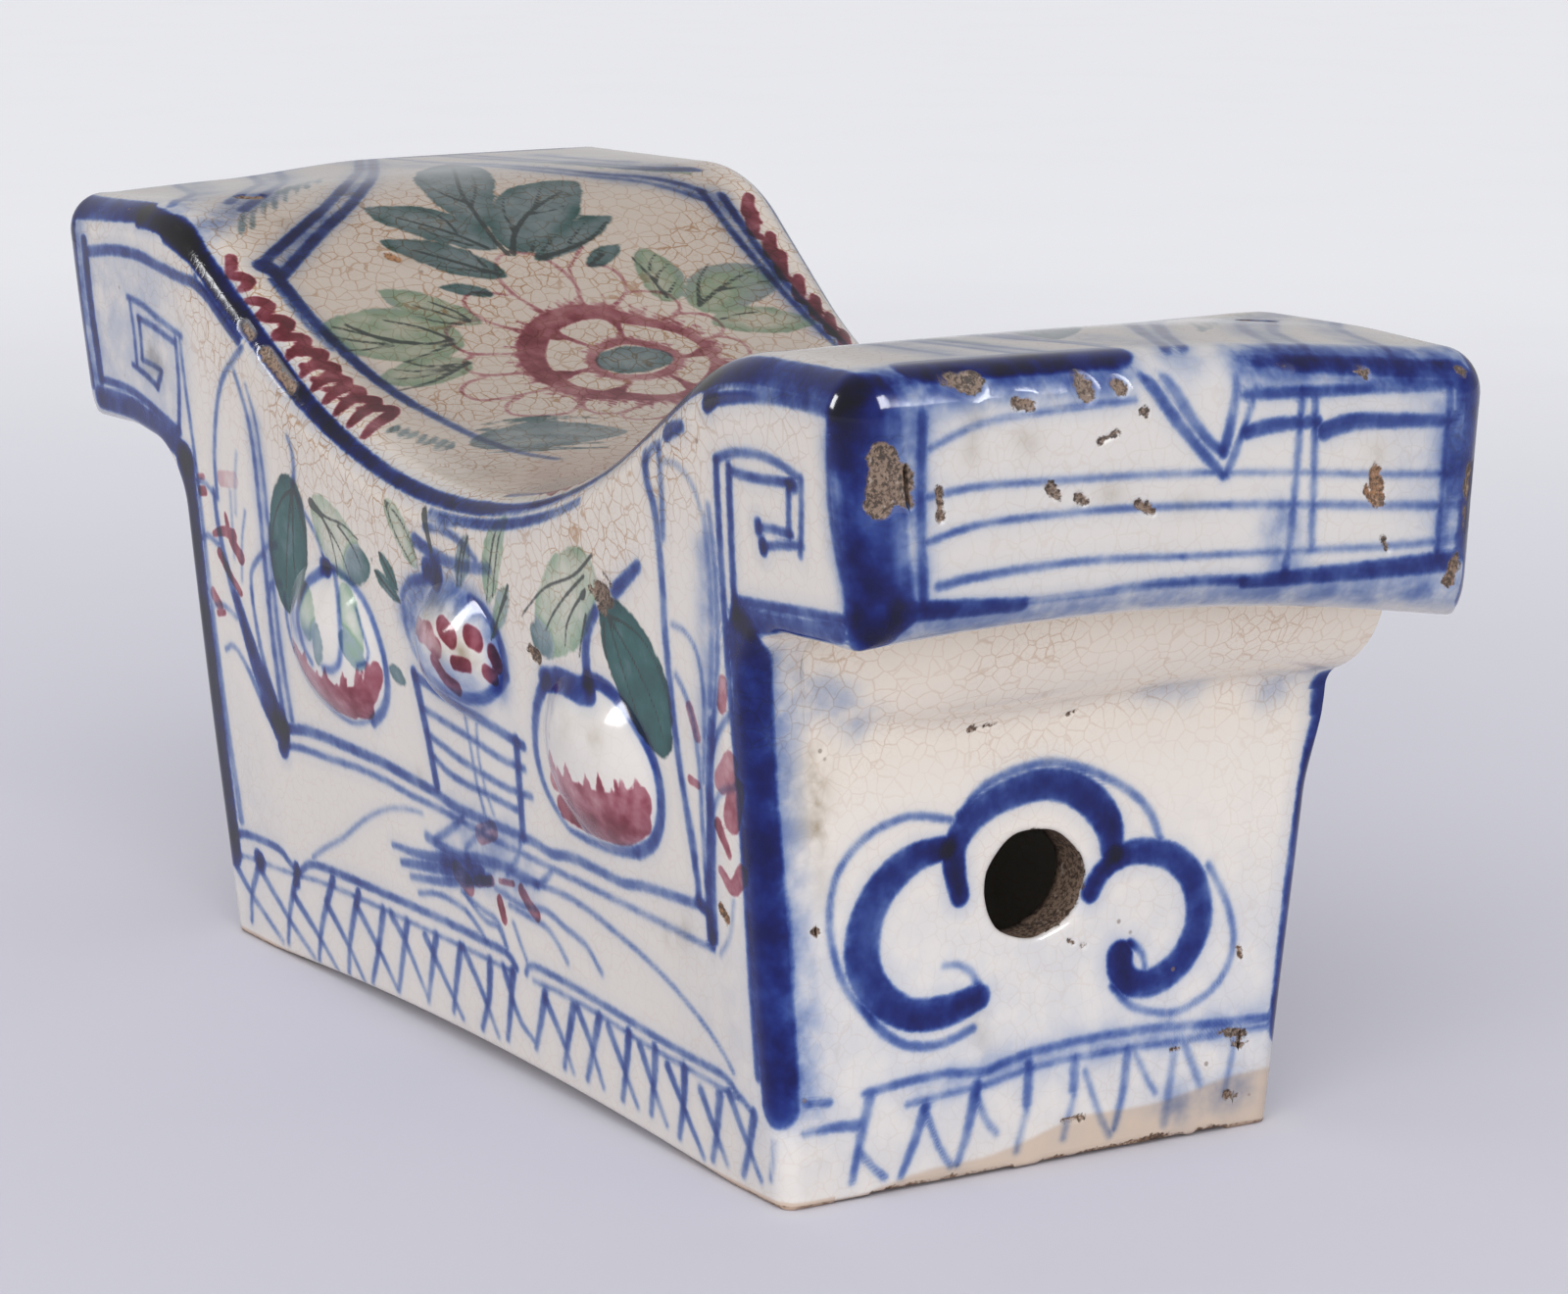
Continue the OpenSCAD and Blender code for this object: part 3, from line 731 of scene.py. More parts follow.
        for line in (
            (-56.6+94j, -59.6+87j, -62+80j, -63.6+73.6j), (-56.2+93.6j, -57.8+86j, -58.8+80j, -58.8+74.6j),
            (-56+94.4j, -61+92j, -65.4+87.6j, -68.4+81.6j), (-55.6+94.4j, -53.6+90j, -52.4+85j, -53.6+79.6j),
        ):
            art.vein(*line, width=0.8)
        art.leaf(12.5, 0.9, -47.6+93j, -41+88j, -35+85j, -27.6+83.6j)
        art.leaf(6.4, 0.32, -35.4+83j, -31.6+83.4j, -27+84.2j)
        for line in (
            (-48+92.6j, -43+91j, -36+90.4j, -30+88.4j), (-45+91j, -38.6+86j, -35+80.4j),
            (-45.4+91.4j, -42+88j, -40.5+83.6j, -40.3+80j), (-38+90j, -33+87j, -30+83.6j),
        ):
            art.vein(*line, width=0.75)
        art.vein(-48.6+92.8j, -44.4+91j, width=2.2)
        art.leaf(3.8, 0.35, -23+66.4j, -20+65.4j, -17+64.4j)

    def pomegranate(self) -> None:
        """Pomegranate with red seeds, ribbons and small leaves."""
        art = self.art
        art.blue(
            (1.3, 2.8), (0.35, 0.85), -14.6+80j, -14+74j, -10.6+70j, -4.4+66.9j, 3+65.7j, 9+66j, 15+67.6j,
            19.4+70.2j, 22.4+72.6j)
        art.blue(2.4, 0.65, 22.4+72.4j, 22.2+76j, 20+80.2j, 16.4+83j, 12+84j)
        art.blue((1.6, 2.6), (0.55, 0.8), -14.6+80.6j, -11+83.6j, -5+85j, 0.4+86j)
        art.mark(Ink.WASH, 5, 0.45, -13+79j, -8+81.6j, -2+83j, 6+83.4j)
        art.mark(Ink.WASH, 4.6, 0.45, 20+71j, 19.6+77j, 14+82.2j, 7+83.4j)
        art.mark(Ink.WASH, 5, 0.28, -12+76j, -8+70.6j, 0+68j, 10+67.6j)
        art.blue(4.2, 1.15, -3.4+87.2j, 0.4+87.4j, -0.4+85.4j)
        art.blue((2.8, 2.2), (1, 0.8), -7+91.6j, -2+90.4j, 6+89.4j, 14+89.8j, 20+90.4j)
        art.blue(1.8, 0.8, -2.6+94.4j, 4+94.8j, 10+93.8j, 15.6+91.4j)
        art.vein(-3.4+97.6j, -2+94.4j, -1+90.6j, width=2.4)
        for row in (
            (4.4, 0.5, -6.4+75j, -3.6+75.2j), (4.8, 0.95, 2+77j, 4.2+76j), (4.4, 1.15, 11+77.2j, 13.4+77j),
            (3.6, 0.85, 18.4+75.6j, 19.6+74j), (2.6, 1, 4.8+71.4j, 9.6+71.8j),
            (3, 0.75, 15.6+71.8j, 18+71.4j), (2.6, 0.75, -2.4+70.6j, 1+68j, 5+66.9j),
            (4, 0.22, -8+76j, -1+73j),
        ):
            art.red(*row)
        for line in (
            (-4.4+78.4j, -1.4+81.6j), (1.6+80.6j, 6+81j), (8+73.2j, 12.6+72.6j), (-3+74j, 0+72.4j),
            (5.6+74.4j, 8+74j),
        ):
            art.mark(Ink.STAIN, 1.8, 0.8, *line)
        art.leaf(6.2, 0.9, -17.6+97.4j, -12+92j, -7.4+86.4j)
        art.vein(-17.4+97j, -14.4+91.6j, -9.4+87j, width=0.7)
        art.vein(-17+97.2j, -11.4+94j, -7.4+89j, -7+86.4j, width=0.7)
        for line in ((-24.4+83.6j, -19.6+81j, -15.6+79.2j), (-21.8+87.2j, -19+84.4j, -16+81.4j)):
            art.leaf(3.4, 0.3, *line)
            art.vein(*line, width=0.8)
        art.leaf(6.4, 0.85, 26.6+101j, 21.6+92j, 18+83.6j)
        art.leaf(4.4, 0.7, 26.4+88.6j, 22+83j, 18.4+78.2j)
        art.leaf(4.6, 0.6, 13.4+95.4j, 10.4+90j, 7.8+85.2j)
        for line in (
            (27.4+101j, 23.4+93j, 20.4+85.6j), (25.4+100.6j, 20.6+91j, 18+84.4j),
            (26.6+88.6j, 22.6+83.6j, 19.4+78.6j), (25.6+86.6j, 21+81.6j, 18.4+78j), (13.6+95j, 11+91j, 9+86j),
            (11.4+93.6j, 8.6+88.6j, 7.4+85.4j),
        ):
            art.vein(*line, width=0.75)

    def right_peach(self) -> None:
        """Large peach with its stalk and two leaves."""
        art = self.art
        for row in (
            ((4.4, 5.4), (1, 1.15), 36.4+74.4j, 42+75j, 48+74.6j, 51.4+75j),
            ((3, 2.6), (1.1, 0.85), 51+77j, 56+77j, 61+75.5j, 66+72.5j, 70+69j, 72.3+65j, 72.7+61j,
             71.4+56.4j, 68+52.6j, 63+50.4j),
            ((2.4, 1.1), (0.85, 0.8), 63+50.4j, 56+49.3j, 48+48.9j, 40+49.4j),
            ((3, 1.1), (0.95, 0.65), 37+74.6j, 33+70j, 30.9+65j, 30.5+60.6j, 32+56j, 35+52.6j, 39.4+49.6j),
            ((3, 2.2), 1.1, 51.4+76j, 51.7+82j, 53.5+86j, 56.4+89.2j),
            ((2.8, 2.2), 1.1, 63+93.4j, 66.5+95.6j, 71.6+99j),
        ):
            art.blue(*row)
        art.mark(Ink.STAIN, 4.4, 0.22, 40+65.6j, 43+67j)
        art.red((3.6, 5.2), (0.45, 0.5), 36.4+57.2j, 42+56.6j, 48+56.2j, 55+56.4j, 62+58j, 67+59.6j)
        art.red((3.4, 5), (0.6, 0.62), 38+53.4j, 45+52.6j, 52+52.2j, 60+53.2j, 66.4+56.4j)
        for line in (
            (57+52.6j, 50.6+54.4j, 45.4+58.2j), (57.6+52.8j, 54.4+56.6j, 52.8+60.4j),
            (58.2+53j, 58.8+57j, 58.4+61.2j), (59+53.2j, 62.2+57j, 63.6+61j), (60+53.4j, 64.8+56j, 68+60j),
            (52+51.8j, 44.6+53.4j, 39.4+57.4j),
        ):
            art.red((2.8, 2.2, 0.7), (1.05, 0.85), *line)
        art.red(1.6, 1, 38+51.8j, 48+51j, 57+51.4j)
        art.red((1, 1.8), 1, 49+53j, 55+53.8j, 61+55.4j, 68+58.8j)
        for x, z, up in (
            (36.8, 57.8, 4.4), (39.2, 57.6, 2.2), (42.4, 57.2, 3.8), (46.6, 57, 1.6), (49, 57, 3.4),
            (53.4, 57.2, 4.2), (57.4, 57.6, 2), (60.8, 58.6, 3.6), (65.6, 60, 3.2),
        ):
            art.red((3.8, 2.4, 0.4), (0.5, 0.36), complex(x, z), complex(x - 0.5, z + up))
        art.leaf(16.6, 0.1, 59.6+89.4j, 65.4+84j, 71.4+77.4j, 75+69j)
        for line in (
            (60+89.2j, 66+88.6j, 71.4+86.8j, 75.8+82.6j, 78.2+77.6j), (60.4+88.4j, 63.6+81j, 67.4+73.6j),
            (61+88.6j, 68+82.4j, 73+76.4j, 75.2+71.6j), (58.6+87.6j, 58.4+83j, 60+78.6j),
        ):
            art.vein(*line, width=0.75)
        art.leaf(14.5, 0.88, 56+96.6j, 47+89.6j, 41+84.6j, 36+79.6j)
        art.leaf(5, 0.4, 33.6+82.4j, 36.4+81.4j, 39.6+81j)
        for line in (
            (56.8+98.4j, 50+94j, 40+90.4j, 33+86j, 30.4+84j), (53.4+94.4j, 46+89.6j, 41+85.6j, 38.6+83j),
            (53.2+91.8j, 49+88.4j, 46+85j, 44.8+81.4j), (53+88j, 50.6+83.4j, 49.4+80.4j),
        ):
            art.vein(*line, width=0.75)
        art.vein(52.4+91j, 53.4+92j, width=1.6)
        art.mark(Ink.CHIP, 4, 0.15, 57.6+92.8j, 59.6+92.4j)
        for line in (
            (55.2+92.8j, 55.8+92.4j), (60+95.6j, 62+94.4j), (61+91j, 62+91.6j), (57.6+90j, 59.4+89.6j),
        ):
            art.mark(Ink.CHIP, 1.1, 0.1, *line)
        art.mark(Ink.CHIP, 2, 0.3, 32.6+78.4j, 34.6+77.8j)
        art.mark(Ink.STAIN, 1, 0.8, 50.4+98.4j, 51.6+98.4j)
        art.mark(Ink.STAIN, 0.9, 0.6, 51.6+66.6j, 53.6+67.4j)

    def stand(self) -> None:
        """Railed stand under the pomegranate."""
        for row in (
            ((2.8, 2.4), (1.05, 0.95), -13.2+67j, -11+58j, -9+47.4j),
            (2, 0.95, -13+66.6j, -4+65j, 6+63.5j, 16+62.3j, 26+61j),
            (1.5, 0.8, -11.5+61j, -2+59.8j, 8+58.5j, 17+57.2j, 25.5+57j),
            (1.5, 0.75, -10.5+56.5j, 0+54.3j, 10+53j, 18+52.3j, 27+52.5j),
            (1.5, 0.8, -8.5+52.5j, -4+50.8j, 2+50j, 10+49.7j, 21+49j),
            (2.4, 0.95, 23.5+61.6j, 22.8+52j, 22.3+44.4j), (1.1, 0.6, 5+62.6j, 6+56j, 7+50j, 9+45j),
            (1, 0.5, 9+61.6j, 8.5+56j, 10+50j, 12+46.4j),
        ):
            self.art.blue(*row)

    def tassel(self) -> None:
        """Loose fronds and red dabs under the stand."""
        art = self.art
        for row in (
            ((1.3, 3), 0.8, -29+32.6j, -20+32.9j, -10+34j, 0+35.6j),
            ((1.6, 3.6), (0.9, 0.85), -26+30j, -15+31.5j, -5+33j, 5+34.6j),
            ((1.4, 2.6), 0.8, -22.6+28j, -12+29.5j, -2+31.5j, 8+34j),
            (1.3, 0.7, -20+25.6j, -12+27j, -3+26.5j, 2+24.6j, 5+22.4j),
            (2.2, 0.55, -15+37j, -5+36j, 5+37j, 15+37.6j, 26+37j), (1.7, 0.45, -12+37j, -4+41j, 0+43.6j),
            (1.4, 0.35, 0+38j, 6+42j, 10+44j), (1.5, 0.4, 15+36.5j, 20+41j, 21+44j),
            (1.6, 0.6, 25+36.6j, 29+38.5j, 32+41j), (1.2, 0.55, -3+29.6j, 4+28j, 10+27j, 13+23j),
            (1.3, 0.6, -2+29.6j, 2+27.4j, 6+26j, 10+26j, 12.4+23.4j),
            (1.4, 0.6, 10+33j, 20+32j, 28+33j, 35+31.5j, 42+30j, 47+26.4j),
            (1.3, 0.6, 15+31j, 22+30.5j, 28+30j, 32+28j, 35+25.4j), (1.1, 0.5, 16+28j, 18+25j, 20+22.4j),
            ((1.4, 1.1), 0.6, 20+36.5j, 32+37.3j, 42+36.8j, 52+35j, 65+32j, 75+28.5j, 84+24j, 89+20j),
            ((1.2, 0.9), (0.45, 0.3), -64+23j, -58+26j, -50+29.5j, -40+35j, -30+39j, -22+40.6j, -16+41j),
        ):
            art.blue(*row)
        art.mark(Ink.WASH, 6, 0.26, -8+34j, 5+35.6j, 22+36.4j)
        art.mark(Ink.WASH, 5, 0.22, -2+43j, 8+42.6j, 18+43j)
        for row in (
            (3.8, 0.34, 6+41.6j, 11+43.4j), (4, 0.5, -4+33j, 0+31.2j), (2, 0.55, 3+32.6j, 9+34j),
            (2.3, 1, 11.4+31j, 12.6+28j), (2.6, 0.65, 20+34.6j, 22.5+32.6j, 25+31.4j),
            (1.2, 0.6, 12+34.6j, 17+35.2j),
        ):
            art.red(*row)


class EndPainting:
    """Brushwork of an end: the cloud round the vent, a zigzag border and the head's ruled face."""

    def __init__(self, art: Painting, end: Face, head: Face) -> None:
        """Lay every mark of one end.

        Args:
            art: The painting that takes the marks.
            end: The end wall.
            head: The head face above it.
        """
        self.art = art
        art.on(end)
        self.cloud()
        self.zigzag()
        art.on(head)
        self.ruled_face()

    def cloud(self) -> None:
        """Three-lobed cloud, in thick strokes with thin outlines."""
        blue = self.art.blue
        self.art.strength = 1.05
        for row in (
            ((3.6, 4.6, 5, 5.4, 5.6, 5.8, 4.6), (1.7, 1.15, 0.85, 0.85, 0.95, 1.1, 1.5), -14.8+47j, -15.8+51j,
             -16+55j, -13.6+58.6j, -9+61.4j, -3+63j, 1+63.2j, 6+62j, 10.4+59j, 13.4+55j, 14.2+51j),
            ((4, 5.4, 6.2, 6.8, 6.2, 5.4, 5.6, 4.6), (1.5, 1, 0.85, 0.85, 0.9, 1.05, 1.4, 1.5), -18+55.2j,
             -24+54j, -29+50.6j, -32+46j, -33+41j, -32+36j, -28.6+31.8j, -23.6+29j, -17+28.6j, -11+30j),
            ((1.6, 1.2), (0.9, 0.6), -10.6+31.4j, -12.4+34.2j, -15+35.8j, -17.4+36j),
            ((3.2, 4.2, 4.6, 5, 5.4, 5.2, 4.8, 5.2), (1.7, 1.3, 0.95, 0.85, 0.85, 0.85, 1, 1.6), 10.4+44j,
             12.4+47.4j, 16+49.6j, 21+49.8j, 26.4+48j, 30.4+44j, 31.8+39j, 31.4+35j, 28.4+30.4j, 23.6+27.8j,
             19+28j, 16.6+30.4j, 16.4+33j),
            ((1.6, 1), (1, 0.7), 18.4+34.8j, 20.6+33j, 21.4+30.4j),
            (1.4, 0.7, -17+59.6j, -25+61j, -33+58.5j, -38+53j, -39+45j, -36.4+36j, -31+29j),
            (1.7, 0.8, -33+31.6j, -29+27j, -24+24j, -18+23.4j, -12+25j),
            (1.5, 0.7, -15.4+60j, -10+64.6j, 0+66.8j, 8+65j, 16+61j, 21+56.6j, 23.6+51.6j),
            (1.4, 0.6, 33.4+46j, 37.4+39j, 39+32j, 36.4+26j, 31+22.8j, 26+22j, 19+24.2j, 15+28j),
        ):
            blue(*row)
        self.art.strength = 1.0
        self.art.mark(Ink.STAIN, 1.6, 0.4, -11.4+27j, -10+22.6j)
        # Three very faint, wide washes stacked low on the wall make it a little darker and bluer towards the
        # foot.
        for width, z in ((62, 30), (48, 27), (34, 24)):
            self.art.mark(Ink.WASH, width, 0.01, complex(-40, z), complex(44, z - 2))

    def zigzag(self) -> None:
        """Double line and zigzag along the foot."""
        art = self.art
        art.blue((1.2, 1.6), 0.8, -42+17j, -38.6+17j, sharp=True)
        art.blue((1.2, 2.2), 0.8, -43+12.6j, -38.6+12.8j, -33+12.4j)
        art.blue(
            1.6, (0.85, 0.6), -32+17.4j, -26+18j, -18+18.4j, -10+17.6j, -6+18.4j, 0+19.4j, 12+20j, 24+19.8j,
            36+18.8j, 46+18.4j)
        art.blue(1.3, 0.55, -24+14.4j, -16+15j, -8+15.4j, 0+16.8j, 12+17.2j, 24+17j, 36+16.8j, 46+16.8j)
        art.mark(Ink.WASH, 3, 0.25, -20+16.6j, 0+18j, 24+18.4j, 44+17.6j)
        for row in (
            ((2.2, 1.5), 0.8, -31+17j, -32.6+10j, -34+3.4j), (1.4, 0.7, -33+8.6j, -30.6+5.4j, -28+3j),
            ((2.2, 1.4), 0.75, -20.6+13.4j, -22.6+8j, -25+2.6j), (1.3, 0.7, -20.6+13j, -18+6.6j, -15.6+3j),
            ((2.4, 1.4), 0.75, -11+15.4j, -12.6+8j, -14.4+3j), (1.3, 0.45, -11+14j, -9+9.4j, -7+7j),
            (2, 0.7, -1+17.4j, -1.2+11j), (1.2, 0.35, -1.2+10j, -3+3.4j), (1.9, 0.6, 8+17j, 7.8+12j),
            (1.2, 0.35, 8+11j, 6+4j), (1.2, 0.5, 10+14.6j, 13+7j, 15.2+3j),
            ((2, 1.2), 0.55, 18.4+17j, 17.6+10j, 16+4j), (1.2, 0.45, 20+16j, 22.4+11.4j, 24+9j),
            (1.6, 0.5, 29.4+17j, 33+9j), (1.6, 0.3, 28+17j, 26+3.4j), (1.2, 0.35, 40+15.4j, 38+6j),
        ):
            art.blue(*row)
        for width, shade, *line in (
            (1.4, 0.25, -42.4+45.2j, -41.4+44.8j), (1, 0.25, 6.6+36.6j, 7.2+36.5j),
            (1, 0.3, 9+35.6j, 9.4+35.6j), (1.6, 0.1, 36.6+17.2j, 40+16.6j, 43+15.8j),
            (1.6, 0.1, 39.6+15j, 42.6+13.8j), (1.2, 0.3, 6+7j, 9.4+7j), (1.6, 0.25, 38.6+6j, 41.6+5.4j),
            (0.9, 0.3, 27+15.6j, 28+15.6j), (1, 0.5, 40+31.4j, 40.4+29.6j), (0.8, 0.3, -14+74j, -9+74.4j),
            (0.9, 0.3, 3.6+73.8j, 6+74.8j),
        ):
            art.mark(Ink.CHIP, width, shade, *line)
        for line in ((-30+0.5j, -16+0.8j, -4+0.6j), (2+0.7j, 14+0.6j, 22+0.9j, 30+0.5j), (33+0.6j, 39+0.5j)):
            art.mark(Ink.CHIP, 1.2, 0.5, *line)
        for row in (
            (Ink.STAIN, 1.1, 1.6, -41.8+72.6j, -42+66j, -41.6+61.4j),
            (Ink.STAIN, 1, 0.4, -41.2+58j, -40.6+50j), (Ink.WASH, 8, 0.16, -42+82j, -36+79j),
            (Ink.WASH, 7, 0.12, 20+79j, 28+78j), (Ink.WASH, 6, 0.14, 44+75j, 50+77j),
            (Ink.WASH, 5, 0.2, 28+6j, 40+7j),
        ):
            art.mark(*row)

    def ruled_face(self) -> None:
        """Ruled lines, a pointed pendant and worn bands on the head's outer face."""
        art, blue = self.art, self.art.blue
        blue(6.6, (1.25, 0.9, 1.1, 1.4), -58+136j, -40+136.6j, -24+136.6j, -11.6+136.8j)
        art.mark(Ink.WASH, 2.6, 0.25, -46+132j, -30+132.8j, -12+132.8j)
        blue(10.5, (0.5, 0.3, 0.4, 0.7), -55.6+134j, -54.4+120j, -53.8+108j, -53.4+100j)
        art.mark(Ink.WASH, 5, 0.45, -48.4+130j, -48.6+102j)
        for row in (
            (1.8, 0.85, -46.4+129.6j, -46.6+116j, -46+101j),
            ((3.6, 3), (1.1, 0.85), -50+101j, -40+100.4j, -28+99.8j),
            ((1.6, 2), (0.4, 1), -28+100.2j, -14+100.4j, -10+100.8j, 0+100.8j, 12+100.2j),
            ((2.6, 3.2), (0.95, 1.1), 12+99.8j, 26+99.8j, 40+99.6j, 52+99.4j),
        ):
            blue(*row)
        art.mark(Ink.WASH, 4.6, (0.6, 0.45), -52+97j, -30+96.4j, 0+96.8j, 24+96j, 52+95.2j)
        for row in (
            (1.2, 0.65, -45+124.4j, -36+127.3j, -22+128.5j, -9+129j),
            (1.3, (0.8, 0.45), -45.4+117.4j, -36+118.2j, -22+118j, -8+117.7j, 4+117.2j),
            (1.1, (0.4, 0.6), 4+117.2j, 20+116j, 36+114.4j, 52+113j),
            (1.3, (0.9, 0.55), -45.6+110.8j, -36+112.6j, -20+113j, -8+112.8j, 8+112j),
            (1.4, (0.5, 0.7), 8+112j, 24+110.8j, 40+109.2j, 54+107.8j),
            ((1.6, 1.2), (0.8, 0.6), -43.4+104.2j, -36+105j, -18+105.6j, 0+104.8j),
            (1.2, 0.55, 0+104.8j, 20+104j, 36+103.2j, 52+102.6j),
            ((2.4, 1.7), (1.1, 0.9), -9.8+136.2j, -6+131j, -1.5+125.4j, 3+120.6j, 7.2+116.4j),
            ((2.2, 1.7), (0.6, 0.8), -5.2+134.6j, -2+130j, 0.8+126j, 4+122.4j, 6.7+120.2j),
            ((1.4, 2.2), (0.6, 0.95), 9.9+134j, 8.8+126j, 7.2+120j),
            ((1.2, 1.7), (0.5, 0.8), 13.2+129.6j, 10.8+123.2j, 7.8+116.6j),
            ((5.6, 5), (1.2, 0.85, 1.1), 12+135.2j, 22+133.6j, 36+131.8j, 54+129.8j),
            (1.9, 0.95, 11+128.4j, 24+128j, 40+127.6j, 54+127j),
            ((2.6, 2.2), 1.05, 11.4+122.8j, 17+123.4j, 24.6+123.4j),
            ((3, 1.8), (1.15, 0.85), 26+121.8j, 32+122.8j, 42+122.2j, 53+121.4j),
            (1.5, 0.65, 21.8+128.4j, 21+118j, 20.2+108j, 19.2+101j),
            (1.5, 0.6, 24.2+128j, 24.2+116j, 24+104j), (1.6, 0.75, 51.6+127j, 50.8+116j, 49.4+101j),
            (1.8, 0.8, 53.4+126j, 53.6+118j, 53.4+110j), (4.6, 1.2, 56.2+127j, 56.6+114j, 55.4+101j),
        ):
            blue(*row)
        art.mark(Ink.WASH, 6, 0.28, 18+108j, 19.4+102j)
        art.mark(Ink.WASH, 4, 0.35, 52+124j, 52.4+104j)
        for width, tone, *line in (
            (5.6, 0.1, -41+135.6j, -37.4+134j), (4.6, 0.15, -53+124j, -53.4+117j),
            (3, 0.15, -49.4+121j, -49+117j), (3.4, 0.1, -18.4+133.4j, -17.4+130.4j),
            (2, 0.2, -30+130j, -27.4+129.6j), (2.4, 0.2, -12.4+131.8j, -11.4+130.8j),
            (2.6, 0.25, 33.6+131.2j, 34.6+130.4j), (1.6, 0.1, -23.8+117.2j, -22.8+116j),
            (1.7, 0.1, -18.4+115.4j, -17.6+114.6j), (1.9, 0.1, -8+113.4j, -6.4+112.6j),
            (1.4, 0.15, -6.6+112.4j, -5.4+112j), (2.8, 0.75, 36.6+114.4j, 37+111j),
            (1.6, 0.8, 35+112j, 36+110.8j), (1.3, 0.1, 38.6+103.8j, 39.4+102.6j),
            (2.4, 0.35, 53+131j, 54.6+129.4j), (2.4, 0.3, 53.4+99j, 52.2+96.2j),
            (2.6, 0.15, 17+133.4j, 20+132.4j), (1.4, 0.2, -43.4+118j, -43+114j),
            (0.9, 0.1, -15+123.2j, -12+124.4j), (0.9, 0.15, -7.8+127.2j, -6.8+127j),
            (1.2, 0.15, 12+133.6j, 14+132.6j), (2.2, 0.3, 56.4+113.4j, 56+109.4j),
            (1.8, 0.3, 55.6+107j, 55.8+104j),
        ):
            art.mark(Ink.CHIP, width, tone, *line)
        for line in (
            (-37+128j, -37.6+123.4j), (-29+124.6j, -27.4+123.8j), (36+117.8j, 36.8+117.4j),
            (-13.4+115.4j, -12.4+115.2j), (0.4+112.8j, 1.4+112.6j),
        ):
            art.mark(Ink.STAIN, 1.3, 0.55, *line)


